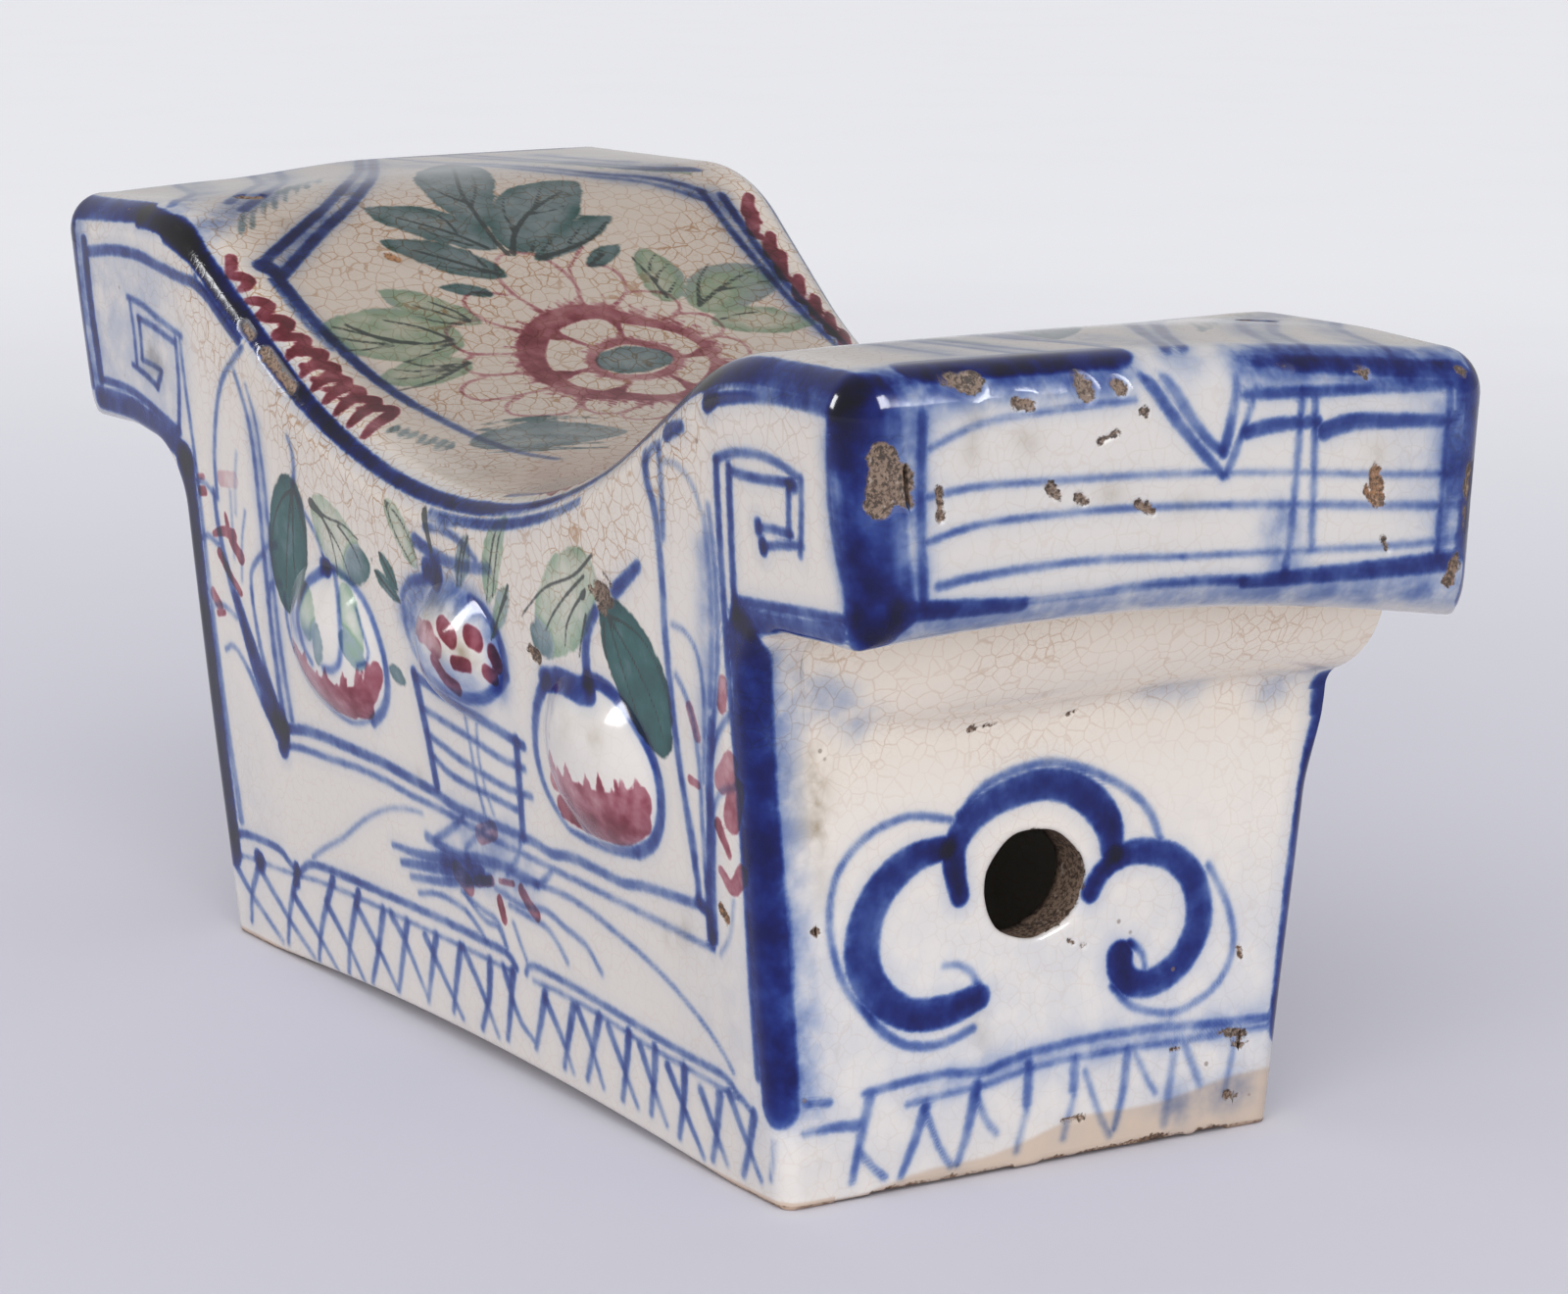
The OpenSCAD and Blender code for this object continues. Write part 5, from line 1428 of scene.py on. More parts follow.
@dataclass(frozen=True)
class Glaze:
    """Crackled cream glaze over cobalt, with enamels on top."""

    name: str = "painted_glaze"
    cream: tuple = (0.72, 0.70, 0.685)
    # The warmer, brighter cream that the glaze's warm tone and the ends' painted light mix towards.
    warm_and_lit: tuple = (0.85, 0.765, 0.66)
    buff: tuple = (0.41, 0.345, 0.29)
    cobalt: tuple = (0.013, 0.038, 0.27)
    red: tuple = (0.29, 0.055, 0.09)
    crackle: tuple = (0.62, 0.41, 0.25)
    clay: tuple = (0.075, 0.055, 0.045)
    worn: tuple = (0.21, 0.155, 0.12)
    rust: tuple = (0.30, 0.15, 0.07)
    bare: tuple = (0.57, 0.45, 0.35)
    greens: tuple = (
        (0.0, (0.010, 0.075, 0.085)), (0.2, (0.035, 0.15, 0.155)), (0.42, (0.22, 0.34, 0.41)),
        (0.6, (0.40, 0.53, 0.60)), (0.76, (0.36, 0.55, 0.42)), (1.0, (0.80, 0.87, 0.82)))
    gloss: float = 0.09

    def build(self) -> bpy.types.Material:
        """Make the material.

        Returns:
            A node material that reads the skins' painted attributes.
        """
        t = Tree(self.name)
        at = t.node("ShaderNodeTexCoord", None, None, "Object")
        line, load, wash = t.field("cobalt")
        red_line, red_load, vein = t.field("enamel")
        leaf_line, shade, stain = t.field("leaf")
        chip_line, rusty, bare = t.field("chip")
        buff, crazed, warm_and_lit = t.field("tone")
        grain = t.noise(at, 700, 3, 0.6) - 0.5
        cloud = t.noise(at, 160, 3, 0.55)
        broad = t.noise(at, 34, 2)

        # The tone's third channel is the glaze's warm tone together with painted light on the ends: where it
        # is high the cream turns warmer and brighter.
        body = t.colour(buff + (broad - 0.5) * 0.12, t.colour(warm_and_lit, self.cream, self.warm_and_lit), self.buff)
        shake = t.node(
            "ShaderNodeVectorMath", {"operation": "SCALE"},
            {0: t.node("ShaderNodeTexNoise", None, {"Vector": at, "Scale": 260, "Detail": 2.0}, "Color"),
             "Scale": 0.0018})
        moved = t.node("ShaderNodeVectorMath", {"operation": "ADD"}, {0: at, 1: shake})
        cells = t.node(
            "ShaderNodeTexVoronoi", {"feature": "DISTANCE_TO_EDGE"}, {"Vector": moved, "Scale": 370})
        small = t.node(
            "ShaderNodeTexVoronoi", {"feature": "DISTANCE_TO_EDGE"}, {"Vector": moved, "Scale": 760})
        patch = t.noise(at, 55, 2).ease(0.3, 0.65)
        fine = (1 - small.ease(0.0, 0.06)) * 0.5 * patch
        craze = (1 - cells.ease(0.0, 0.07) + fine) * crazed * (0.4 + 0.6 * patch)
        body = t.colour(craze * 0.95, body, self.crackle, "MULTIPLY")
        body = t.colour(stain * cloud.ease(0.25, 0.6), body, (0.45, 0.38, 0.27), "MULTIPLY")
        body = t.colour(
            (bare + (cloud - 0.5) * 0.25).ease(0.12, 0.6), body,
            t.colour(broad, self.bare, (0.66, 0.53, 0.42)))

        edge = line + grain * 0.55 + 0.06
        cover = 1 - edge.ease(-0.62, 0.4)
        pool = cloud.ease(0.27, 0.73)
        core = 1 - (line + grain * 1.2).ease(-2.4, -0.1)
        halo = (1 - line.ease(0.0, 3.2)) * load * 0.03 + (1 - edge.ease(0.0, 0.9)) * 0.05
        depth = cover * load * (0.4 + 0.6 * pool + 0.35 * core) * (0.65 + 0.7 * broad)
        depth = depth + wash * (0.25 + 1.0 * pool) + halo * (0.4 + 1.2 * broad)
        body = t.colour(1.0, body, t.stain(depth, self.cobalt), "MULTIPLY")
        streak = red_line + grain * 0.6
        body = t.colour(
            1.0, body, t.stain((1 - streak.ease(-0.35, 0.25)) * red_load * (0.55 + 0.85 * pool), self.red),
            "MULTIPLY")
        pale = shade + (pool - 0.5) * 0.17 + (1 - leaf_line.ease(-3.6, 0.0)) * 0.12 - 0.05
        green = t.node("ShaderNodeValToRGB", {"stops": self.greens}, {0: pale})
        leafy = 1 - (leaf_line + grain * 0.8 + (cloud - 0.5) * 2.2).ease(-0.45, 0.3)
        body = t.colour(leafy, body, t.colour(1.0, body, green, "MULTIPLY"))
        ink = 1 - (vein + grain * 0.35).ease(-0.2, 0.18)
        body = t.colour(ink * 0.9, body, (0.018, 0.024, 0.022))

        crumb = t.noise(at, 1500, 4, 0.7)
        broken = 1 - (chip_line + grain * 1.7 + (cloud - 0.5) * 2.6 + (crumb - 0.5) * 1.2).ease(-0.3, 0.12)
        earth = t.colour(
            rusty, t.colour((crumb + grain * 0.5).ease(0.4, 0.58), self.clay, self.worn), self.rust)
        earth = t.colour((1 - (crumb + cloud * 0.5).ease(0.6, 0.78)) * 0.8, earth, (0.03, 0.022, 0.018))
        earth = t.colour((crumb - grain).ease(0.62, 0.8) * 0.5, earth, (0.42, 0.37, 0.32))
        body = t.colour(broken, body, earth)
        open_clay = (bare + (cloud - 0.5) * 0.1).ease(0.88, 0.95)
        body = t.colour(
            open_clay, body,
            t.colour(t.noise(at, 900, 2).ease(0.4, 0.7), (0.44, 0.32, 0.24), (0.2, 0.12, 0.08)))
        specks = t.node("ShaderNodeTexVoronoi", {"feature": "F1"}, {"Vector": at, "Scale": 125})
        pits = (1 - specks.ease(0.035, 0.07)) * t.noise(at, 60, 1).ease(0.56, 0.6)
        body = t.colour(pits * 0.65, body, (0.16, 0.11, 0.08))

        dull = broken.most(open_clay)
        worn_rim = (1 - chip_line.ease(0.1, 0.9)) * 0.5
        rough = self.gloss + 0.05 * cloud + dull.most(worn_rim) * 0.55 + pits * 0.2
        waves = t.noise(at, 48, 1) + t.noise(at, 260, 2) * 0.10
        swell = waves + cover * 0.012 - craze * 0.03 - dull * 0.09
        bump = t.node("ShaderNodeBump", None, {"Strength": 0.35, "Distance": 0.0009, "Height": swell})
        shader = t.node("ShaderNodeBsdfPrincipled", None, {
            "Base Color": body, "Roughness": rough, "Normal": bump, "IOR": 1.5, "Specular IOR Level": 0.4})
        t.node("ShaderNodeOutputMaterial", None, {0: shader})
        return t.material


@dataclass(frozen=True)
class Clay:
    """Bare buff clay of the hidden slabs and coils."""

    name: str = "bare_clay"
    pale: tuple = (0.52, 0.40, 0.29)
    dark: tuple = (0.30, 0.20, 0.13)

    def build(self) -> bpy.types.Material:
        """Make the material.

        Returns:
            A rough, speckled node material.
        """
        t = Tree(self.name)
        at = t.node("ShaderNodeTexCoord", None, None, "Object")
        speck = t.noise(at, 650, 4, 0.65)
        broad = t.noise(at, 60, 2)
        body = t.colour(speck.ease(0.42, 0.7) * 0.7 + broad * 0.2, self.pale, self.dark)
        bump = t.node(
            "ShaderNodeBump", None, {"Strength": 0.5, "Distance": 0.0006, "Height": speck + broad * 0.6})
        shader = t.node("ShaderNodeBsdfPrincipled", None, {
            "Base Color": body, "Roughness": 0.72 + 0.15 * speck, "Normal": bump, "Specular IOR Level": 0.3})
        t.node("ShaderNodeOutputMaterial", None, {0: shader})
        return t.material


@dataclass
class Skin:
    """One glazed slab: a closed mesh that stands for a solid, painted and warped."""

    form: Form
    art: Painting
    name: str
    replaces: str
    slot: str
    finish: bpy.types.Material
    chip_depth = 0.55

    def grid(self, across: int, up: int) -> tuple[bmesh.types.BMesh, Array, Array]:
        """Start a grid.

        Args:
            across: Cells across.
            up: Cells upwards.

        Returns:
            The mesh, and each vertex's column and row.
        """
        bm = bmesh.new()
        bmesh.ops.create_grid(bm, x_segments=across, y_segments=up, size=0.5)
        co = np.array([v.co for v in bm.verts])
        return bm, np.rint((co[:, 0] + 0.5) * across).astype(int), np.rint((co[:, 1] + 0.5) * up).astype(int)

    def move(self, bm: bmesh.types.BMesh, at: Array) -> None:
        """Put every vertex at its place, in millimetres."""
        for vert, place in zip(bm.verts, at.tolist()):
            vert.co = place

    def skirt(self, bm: bmesh.types.BMesh, outer: Array, normal: Array, seam: set[int], rings: int = 7,
              deep: float = 9.0) -> None:
        """Roll a face's border over and down to the slab's thickness, and close the slab behind.

        Args:
            bm: Mesh of the face, with its vertices placed.
            outer: Place of each vertex on the slab's true outline.
            normal: The face's outward normal.
            seam: Border vertices that stay sharp because another slab continues there.
            rings: Rings of the rounded edge.
            deep: Thickness of the slab.
        """
        bm.verts.ensure_lookup_table()
        bm.verts.index_update()
        border = [e for e in bm.edges if e.is_boundary]
        links: dict[int, list[int]] = {}
        for e in border:
            a, b = (v.index for v in e.verts)
            links.setdefault(a, []).append(b)
            links.setdefault(b, []).append(a)
            e.smooth = not (a in seam and b in seam)
        root = bm.verts.layers.int.new("root")
        for index in links:
            bm.verts[index][root] = index
        base = {k: np.array(bm.verts[k].co) for k in links}
        out, fall = {}, {}
        kin = {k: [n for n in pair if (n in seam) == (k in seam)] or pair for k, pair in links.items()}
        inward = np.array([0.0, -1.0 / normal[1], 0.0])
        for k, pair in links.items():
            a, b = pair if len(kin[k]) == 2 else (k, kin[k][0])
            run = base[b] - base[a]
            side = np.cross(run, normal)
            side /= max(np.linalg.norm(side), 1e-9)
            out[k] = np.zeros(3) if k in seam else outer[k] - base[k]
            fall[k] = abs(float(out[k] @ side))
        for _ in range(3):
            fall = {k: fall[k] if k in seam else 0.5 * fall[k] + 0.5 * sum(fall[n] for n in near) / len(near)
                    for k, near in kin.items()}
        edges = border
        for ring in range(1, rings + 2):
            made = bmesh.ops.extrude_edge_only(bm, edges=edges)["geom"]
            edges = [g for g in made if isinstance(g, bmesh.types.BMEdge) and g.is_boundary]
            angle = min(ring / rings, 1.0) * math.pi / 2
            for vert in (g for g in made if isinstance(g, bmesh.types.BMVert)):
                k = vert[root]
                down = deep if ring > rings else max(
                    fall[k] * (1 - math.cos(angle)), deep * 0.02 * ring if fall[k] < 0.3 else 0)
                vert.co = base[k] + out[k] * math.sin(angle) + inward * down
        corner = {k for k, pair in links.items() if k not in seam and any(n in seam for n in pair)}
        for e in bm.edges:
            a, b = (v[root] for v in e.verts)
            if a == b and a in corner:
                e.smooth = False
        for e in edges:
            e.smooth = False
        bmesh.ops.holes_fill(bm, edges=edges, sides=0)

    def tone(self, at: Array) -> Array:
        """Give the glaze's buff, crackle and warm tone at points of the skin, with the ends' painted light.
        """
        return self.form.end_tone(at[:, 2])

    def wear(self, at: Array, fields: dict[str, Array]) -> None:
        """Add wear of the skin's own to its painted fields; a plain skin adds none."""

    def bare(self, at: Array) -> Array:
        """Give how bare the clay is at points of the skin."""
        return 1.0 - smooth(0.8, 2.4, at[:, 2])

    def publish(
            self, bm: bmesh.types.BMesh,
            paint_at: Callable[[Array], Array] | None = None) -> bpy.types.Object:
        """Finish the mesh: paint, warp, chip, and hang it on the frame.

        Args:
            bm: The closed mesh, in millimetres.
            paint_at: Where each point takes its paint from, if not from its own place.

        Returns:
            The finished object.
        """
        bmesh.ops.recalc_face_normals(bm, faces=bm.faces)
        mesh = bpy.data.meshes.new(self.name)
        for face in bm.faces:
            face.smooth = True
        bm.to_mesh(mesh)
        bm.free()
        flat = np.empty(len(mesh.vertices) * 3)
        mesh.vertices.foreach_get("co", flat)
        at = flat.reshape(-1, 3)
        lifted = paint_at(at) if paint_at else at
        fields = self.art.fields(lifted)
        fields["tone"] = self.tone(at)
        fields["chip"][:, 2] = self.bare(at)
        self.wear(at, fields)
        for name, values in fields.items():
            layer = mesh.attributes.new(name, "FLOAT_VECTOR", "POINT")
            layer.data.foreach_set("vector", values.astype(np.float32).ravel())
        settled = self.form.settle(at)
        mesh.vertices.foreach_set("co", (settled * MM).ravel())
        mesh.update()
        normals = np.empty_like(flat)
        mesh.vertex_normals.foreach_get("vector", normals)
        depth = self.chip_depth * (1 - smooth(-1.0, 0.4, fields["chip"][:, 0]))
        settled = settled - normals.reshape(-1, 3) * depth[:, None]
        mesh.vertices.foreach_set("co", (settled * MM).ravel())
        mesh.update()
        mesh.materials.append(self.finish)
        obj = bpy.data.objects.new(self.name, mesh)
        bpy.context.scene.collection.objects.link(obj)
        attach(obj, "root")
        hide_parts(self.replaces)
        LOG.info("%s: %d vertices", self.name, len(mesh.vertices))
        return obj


def foot_bare(y: Array, z: Array) -> Array:
    """Give how bare an end's foot is, below an uneven line that the glaze stops at."""
    line = np.interp(y, (-36, -28, -10, 8, 18, 44), (0.5, 1.4, 3.6, 6.6, 7.0, 9.2)) + 0.5 * np.sin(y / 5)
    return 0.85 * (1 - smooth(line - 1.4, line + 1.4, z))


def round_corner(
        at: Array, corner: Array, first: Array, second: Array, radius: float, hollow: bool,
        reach: float) -> Array:
    """Round a square corner of a flat outline, and ease the grid behind it.

    Args:
        at: Flat points of the grid.
        corner: The square corner.
        first: Direction along the first edge, away from the corner.
        second: Direction along the second edge, away from the corner.
        radius: Radius of the rounding.
        hollow: Whether the corner is an inside one.
        reach: How far behind the edge the grid is eased.

    Returns:
        The moved points.
    """
    off = at - corner
    a, b = off @ first, off @ second
    if hollow:
        along, behind = np.maximum(b, 0) - np.maximum(a, 0), np.hypot(np.minimum(a, 0), np.minimum(b, 0))
    else:
        along, behind = b - a, np.minimum(np.maximum(a, 0), np.maximum(b, 0))
    along = np.clip(along, -radius, radius)
    turn = (along / radius + 1) * math.pi / 4
    arc = radius * (first + second) - radius * (
        np.cos(turn)[:, None] * second + np.sin(turn)[:, None] * first)
    straight = np.maximum(-along, 0)[:, None] * first + np.maximum(along, 0)[:, None] * second
    fade = np.clip(1 - behind / reach, 0, 1) ** 2
    return at + (arc - straight) * fade[:, None]


@dataclass
class LongWall(Skin):
    """Front or back wall, with the long faces of both heads."""

    side: int = -1
    coved: bool = True
    step: float = 0.6
    under_r: float = 2.2
    foot_r: float = 1.2
    upper: float = 36.0

    def flat(self, col: Array, row: Array, counts: tuple[int, int, int, int, int], inset: float) -> Array:
        """Spread the grid over the wall's outline.

        Args:
            col: Column of each vertex.
            row: Row of each vertex.
            counts: Columns of left head, body and right head, and rows below and above the heads' underside.
            inset: 1 for the face inside its rounded edges, 0 for the true outline.

        Returns:
            Flat points along and up the wall.
        """
        f = self.form
        left, body, right, low, high = counts
        ends_at = -f.length / 2 + inset * f.corner_r, f.length / 2 - inset * f.corner_r
        share = np.clip((col - left) / body, 0, 1) * 2 - 1
        up = np.clip(row / low, 0, 1)
        z = up * f.head_under
        for _ in range(3):
            tuck = f.body_r * (1.0 if self.coved else 1 - smooth(56, 72, np.minimum(z, f.head_under)))
            x = f.body_mid + share * (f.half_x(np.minimum(z, f.head_under)) - inset * tuck)
            x = np.where(col < left, x + (ends_at[0] - x) * (left - col) / left, x)
            x = np.where(col > left + body, x + (ends_at[1] - x) * (col - left - body) / right, x)
            top = f.edge_z(x, self.side) - f.top_slab
            ends = f.body_mid + np.array([-f.half_body, f.half_body])
            sides = f.edge_z(ends, self.side) - f.top_slab
            under = f.head_under + inset * self.under_r
            inner = top * (under / (sides[0] + (sides[1] - sides[0]) * (share + 1) / 2))
            middle = np.where((col < left) | (col > left + body), under, inner)
            foot = f.foot_z(x) + inset * self.foot_r
            z = np.where(
                row <= low, foot + (middle - foot) * up, middle + (top - middle) * (row - low) / high)
        at = np.stack([x, z], 1)
        for end in (-1, 1):
            along = np.array([float(end), 0.0])
            tuck = f.body_r if self.coved else 0.0
            inside = np.array(
                [f.body_mid + end * (f.half_body - inset * tuck), f.head_under + inset * self.under_r])
            if self.coved:
                at = round_corner(at, inside, np.array([0.0, -1.0]), along, f.cove_r + 3 * inset, True, 22.0)
            outside = np.array([ends_at[(end + 1) // 2], f.head_under + inset * self.under_r])
            at = round_corner(at, outside, -along, np.array([0.0, 1.0]), f.low_r - 4 * inset, False, 9.0)
            toe = np.array([f.body_mid + end * (f.half_x(0.0) - inset * f.body_r), inset * self.foot_r])
            at = round_corner(at, toe, -along, np.array([0.0, 1.0]), 1.4 - 0.6 * inset, False, 4.0)
        return at

    def place(self, flat: Array) -> Array:
        """Stand flat points on the leaning wall."""
        return np.stack([flat[:, 0], self.side * self.form.outer_y(flat[:, 1]), flat[:, 1]], 1)

    def build(self) -> bpy.types.Object:
        """Make the wall.

        Returns:
            The finished object.
        """
        f = self.form
        spans = (f.left_overhang, 2 * f.half_body, f.right_overhang, f.head_under, self.upper)
        counts = tuple(int(size / self.step) for size in spans)
        left, body, right, low, high = counts
        bm, col, row = self.grid(left + body + right, low + high)
        inner = self.place(self.flat(col, row, counts, 1.0))
        outer = self.place(self.flat(col, row, counts, 0.0))
        self.move(bm, inner)
        bm.verts.ensure_lookup_table()
        keep = ~(((col < left) | (col > left + body)) & (row < low))
        doomed = [bm.verts[k] for k in np.flatnonzero(~keep)]
        bmesh.ops.delete(bm, geom=doomed, context="VERTS")
        kept = np.flatnonzero(keep)
        row, col, outer = row[kept], col[kept], outer[kept]
        last = left + body + right
        seam = {int(k) for k in np.flatnonzero((row == low + high) & (col > 0) & (col < last))}
        normal = np.array([0.0, self.side * math.cos(f.wall_lean), -math.sin(f.wall_lean)])
        self.skirt(bm, outer, normal, seam)
        return self.publish(bm)

    def tone(self, at: Array) -> Array:
        """Warmer and more crazed towards the saddle's edge."""
        return self.form.side_tone(at[:, 0], at[:, 2], self.side)

    def bare(self, at: Array) -> Array:
        """Bare along the foot, higher on the end that the glaze ran short of."""
        x, y, z = at.T
        thin = 1.0 - smooth(0.6, 1.8, z)
        tip = smooth(-9.0, -5.0, np.abs(x - self.form.body_mid) - self.form.half_x(z))
        return np.maximum(thin, tip * foot_bare(y, z))


@dataclass
class SaddleTop(Skin):
    """Lofted top slab with its rounded rim."""

    across: int = 440
    over: int = 160
    rings: int = 12
    sides: int = 4

    def build(self) -> bpy.types.Object:
        """Make the top.

        Returns:
            The finished object.
        """
        f, n = self.form, self.rings + self.sides + 1
        bm, col, row = self.grid(self.across + 2 * n, self.over + 2 * n)
        past_x = np.maximum(n - col, 0) - np.maximum(col - n - self.across, 0)
        past_y = np.maximum(n - row, 0) - np.maximum(row - n - self.over, 0)
        ring = np.maximum(np.abs(past_x), np.abs(past_y))
        little = np.minimum(np.abs(past_x), np.abs(past_y))
        lean = np.pi / 4 * little / np.maximum(ring, 1)
        lean = np.where(np.abs(past_x) >= np.abs(past_y), lean, np.pi / 2 - lean)
        out_x, out_y = -np.sign(past_x) * np.cos(lean), -np.sign(past_y) * np.sin(lean)
        theta = np.minimum(ring, self.rings) / self.rings * np.pi / 2
        reach = f.corner_r * np.sin(theta)
        drop = f.edge_r * (1 - np.cos(theta))
        slack = (f.top_slab - f.edge_r) * math.tan(f.wall_lean)
        reach = np.where(ring == n, f.corner_r - 3.5, reach)
        down = np.clip((ring - self.rings) / self.sides, 0, 1)
        lift = slack * np.sin(theta) * (1 - down)
        half = f.length / 2 - f.corner_r
        base_x = -half + 2 * half * np.clip((col - n) / self.across, 0, 1)
        x = base_x + out_x * reach
        front, back = f.edge_y(x, -1) + f.corner_r, f.edge_y(x, 1) - f.corner_r
        y = front + (back - front) * np.clip((row - n) / self.over, 0, 1) + out_y * (reach + lift)
        z = (f.ruled(x, y, True) - drop) * (1 - down) + (f.ruled(x, y, False) - f.top_slab) * down
        self.move(bm, np.stack([x, y, z], 1))
        bm.verts.ensure_lookup_table()
        last_col, last_row = self.across + 2 * n, self.over + 2 * n
        rim = ((row == 0) | (row == last_row)) & (col > 0) & (col < last_col)
        rims = [e for e in bm.edges if e.is_boundary and all(rim[v.index] for v in e.verts)]
        bmesh.ops.bridge_loops(bm, edges=rims)
        bmesh.ops.holes_fill(bm, edges=[e for e in bm.edges if e.is_boundary], sides=0)
        for e in bm.edges:
            pair = [ring[v.index] for v in e.verts]
            e.smooth = min(pair) < n - 1 or max(pair) > n - 1
        return self.publish(bm)

    def tone(self, at: Array) -> Array:
        """Buff and strongly crazed in the saddle, paler on the heads."""
        f = self.form
        x, y, z = at.T
        front = y < 0
        edge = np.where(front[:, None], f.side_tone(x, z, -1), f.side_tone(x, z, 1))
        saddle = 1 - smooth(84, 112, np.abs(x - f.body_mid))
        deep = np.stack([0.74 + 0.18 * saddle, 0.4 + 0.6 * saddle, 0.1 + 0.4 * saddle], 1)
        inset = np.where(front, y - f.edge_y(x, -1), f.edge_y(x, 1) - y)
        end = smooth(f.length / 2 - 10, f.length / 2 - 4.5, np.abs(x))[:, None]
        tone = edge + (deep - edge) * smooth(2, 15, inset)[:, None]
        return tone + (f.end_tone(z) - tone) * end

    def bare(self, at: Array) -> Array:
        """Glazed all over."""
        return 0 * at[:, 2]


@dataclass
class HeadFloor(Skin):
    """Slab that closes a head from below, warped with the head."""

    cuts: int = 14

    def build(self) -> bpy.types.Object:
        """Make the slab inside the solid's box.

        Returns:
            The finished object.
        """
        low, high = (np.array(corner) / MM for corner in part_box(self.replaces))
        bm = bmesh.new()
        bmesh.ops.create_cube(bm, size=1.0)
        bmesh.ops.subdivide_edges(bm, edges=bm.edges, cuts=self.cuts, use_grid_fill=True)
        share = np.array([v.co for v in bm.verts]) + 0.5
        at = low + share * (high - low)
        at[:, 1] = (2 * share[:, 1] - 1) * self.form.inner_y(at[:, 2])
        self.move(bm, at)
        return self.publish(bm)

    def bare(self, at: Array) -> Array:
        """Unglazed all over."""
        return 1.0 + 0 * at[:, 2]


@dataclass
class HeadFace(Skin):
    """Outer face of a head, folded under along its lower edge."""

    end: int = 1
    across: int = 330
    up: int = 96
    fold: int = 12

    def build(self) -> bpy.types.Object:
        """Make the face.

        Returns:
            The finished object.
        """
        f = self.form
        bm, col, row = self.grid(self.across, self.up + self.fold + 1)
        share = col / self.across
        low = f.head_under + f.low_r
        angle = np.clip((self.fold + 1 - row) / self.fold, 0, 1) * np.pi / 2
        reach_x = f.length / 2 - f.low_r * (1 - np.cos(angle))
        z = low - f.low_r * np.sin(angle)
        reach_x = np.where(row == 0, f.length / 2 - f.wall, reach_x)
        for _ in range(3):
            y = f.inner_y(z) * (2 * share - 1)
            top = f.ruled(np.full_like(y, self.end * f.length / 2), y, False) - f.top_slab
            z = np.where(row > self.fold + 1, low + (top - low) * (row - self.fold - 1) / self.up, z)
        self.move(bm, np.stack([self.end * reach_x, y, z], 1))
        bm.verts.ensure_lookup_table()
        root = bm.verts.layers.int.new("root")
        for k, vert in enumerate(bm.verts):
            vert[root] = k
        edges = [e for e in bm.edges if e.is_boundary]
        for e in edges:
            e.smooth = False
        made = bmesh.ops.extrude_edge_only(bm, edges=edges)["geom"]
        for vert in (g for g in made if isinstance(g, bmesh.types.BMVert)):
            k = vert[root]
            tuck = 1.0 if row[k] == 0 else 0.0
            vert.co = (
                self.end * (f.length / 2 - f.wall - 0.3 + 0.3 * tuck), y[k] * (1 - 0.01 * tuck),
                max(z[k], f.head_under + tuck))
        edges = [g for g in made if isinstance(g, bmesh.types.BMEdge) and g.is_boundary]
        bmesh.ops.holes_fill(bm, edges=edges, sides=0)
        return self.publish(bm)

    def bare(self, at: Array) -> Array:
        """Glazed all over."""
        return 0 * at[:, 2]


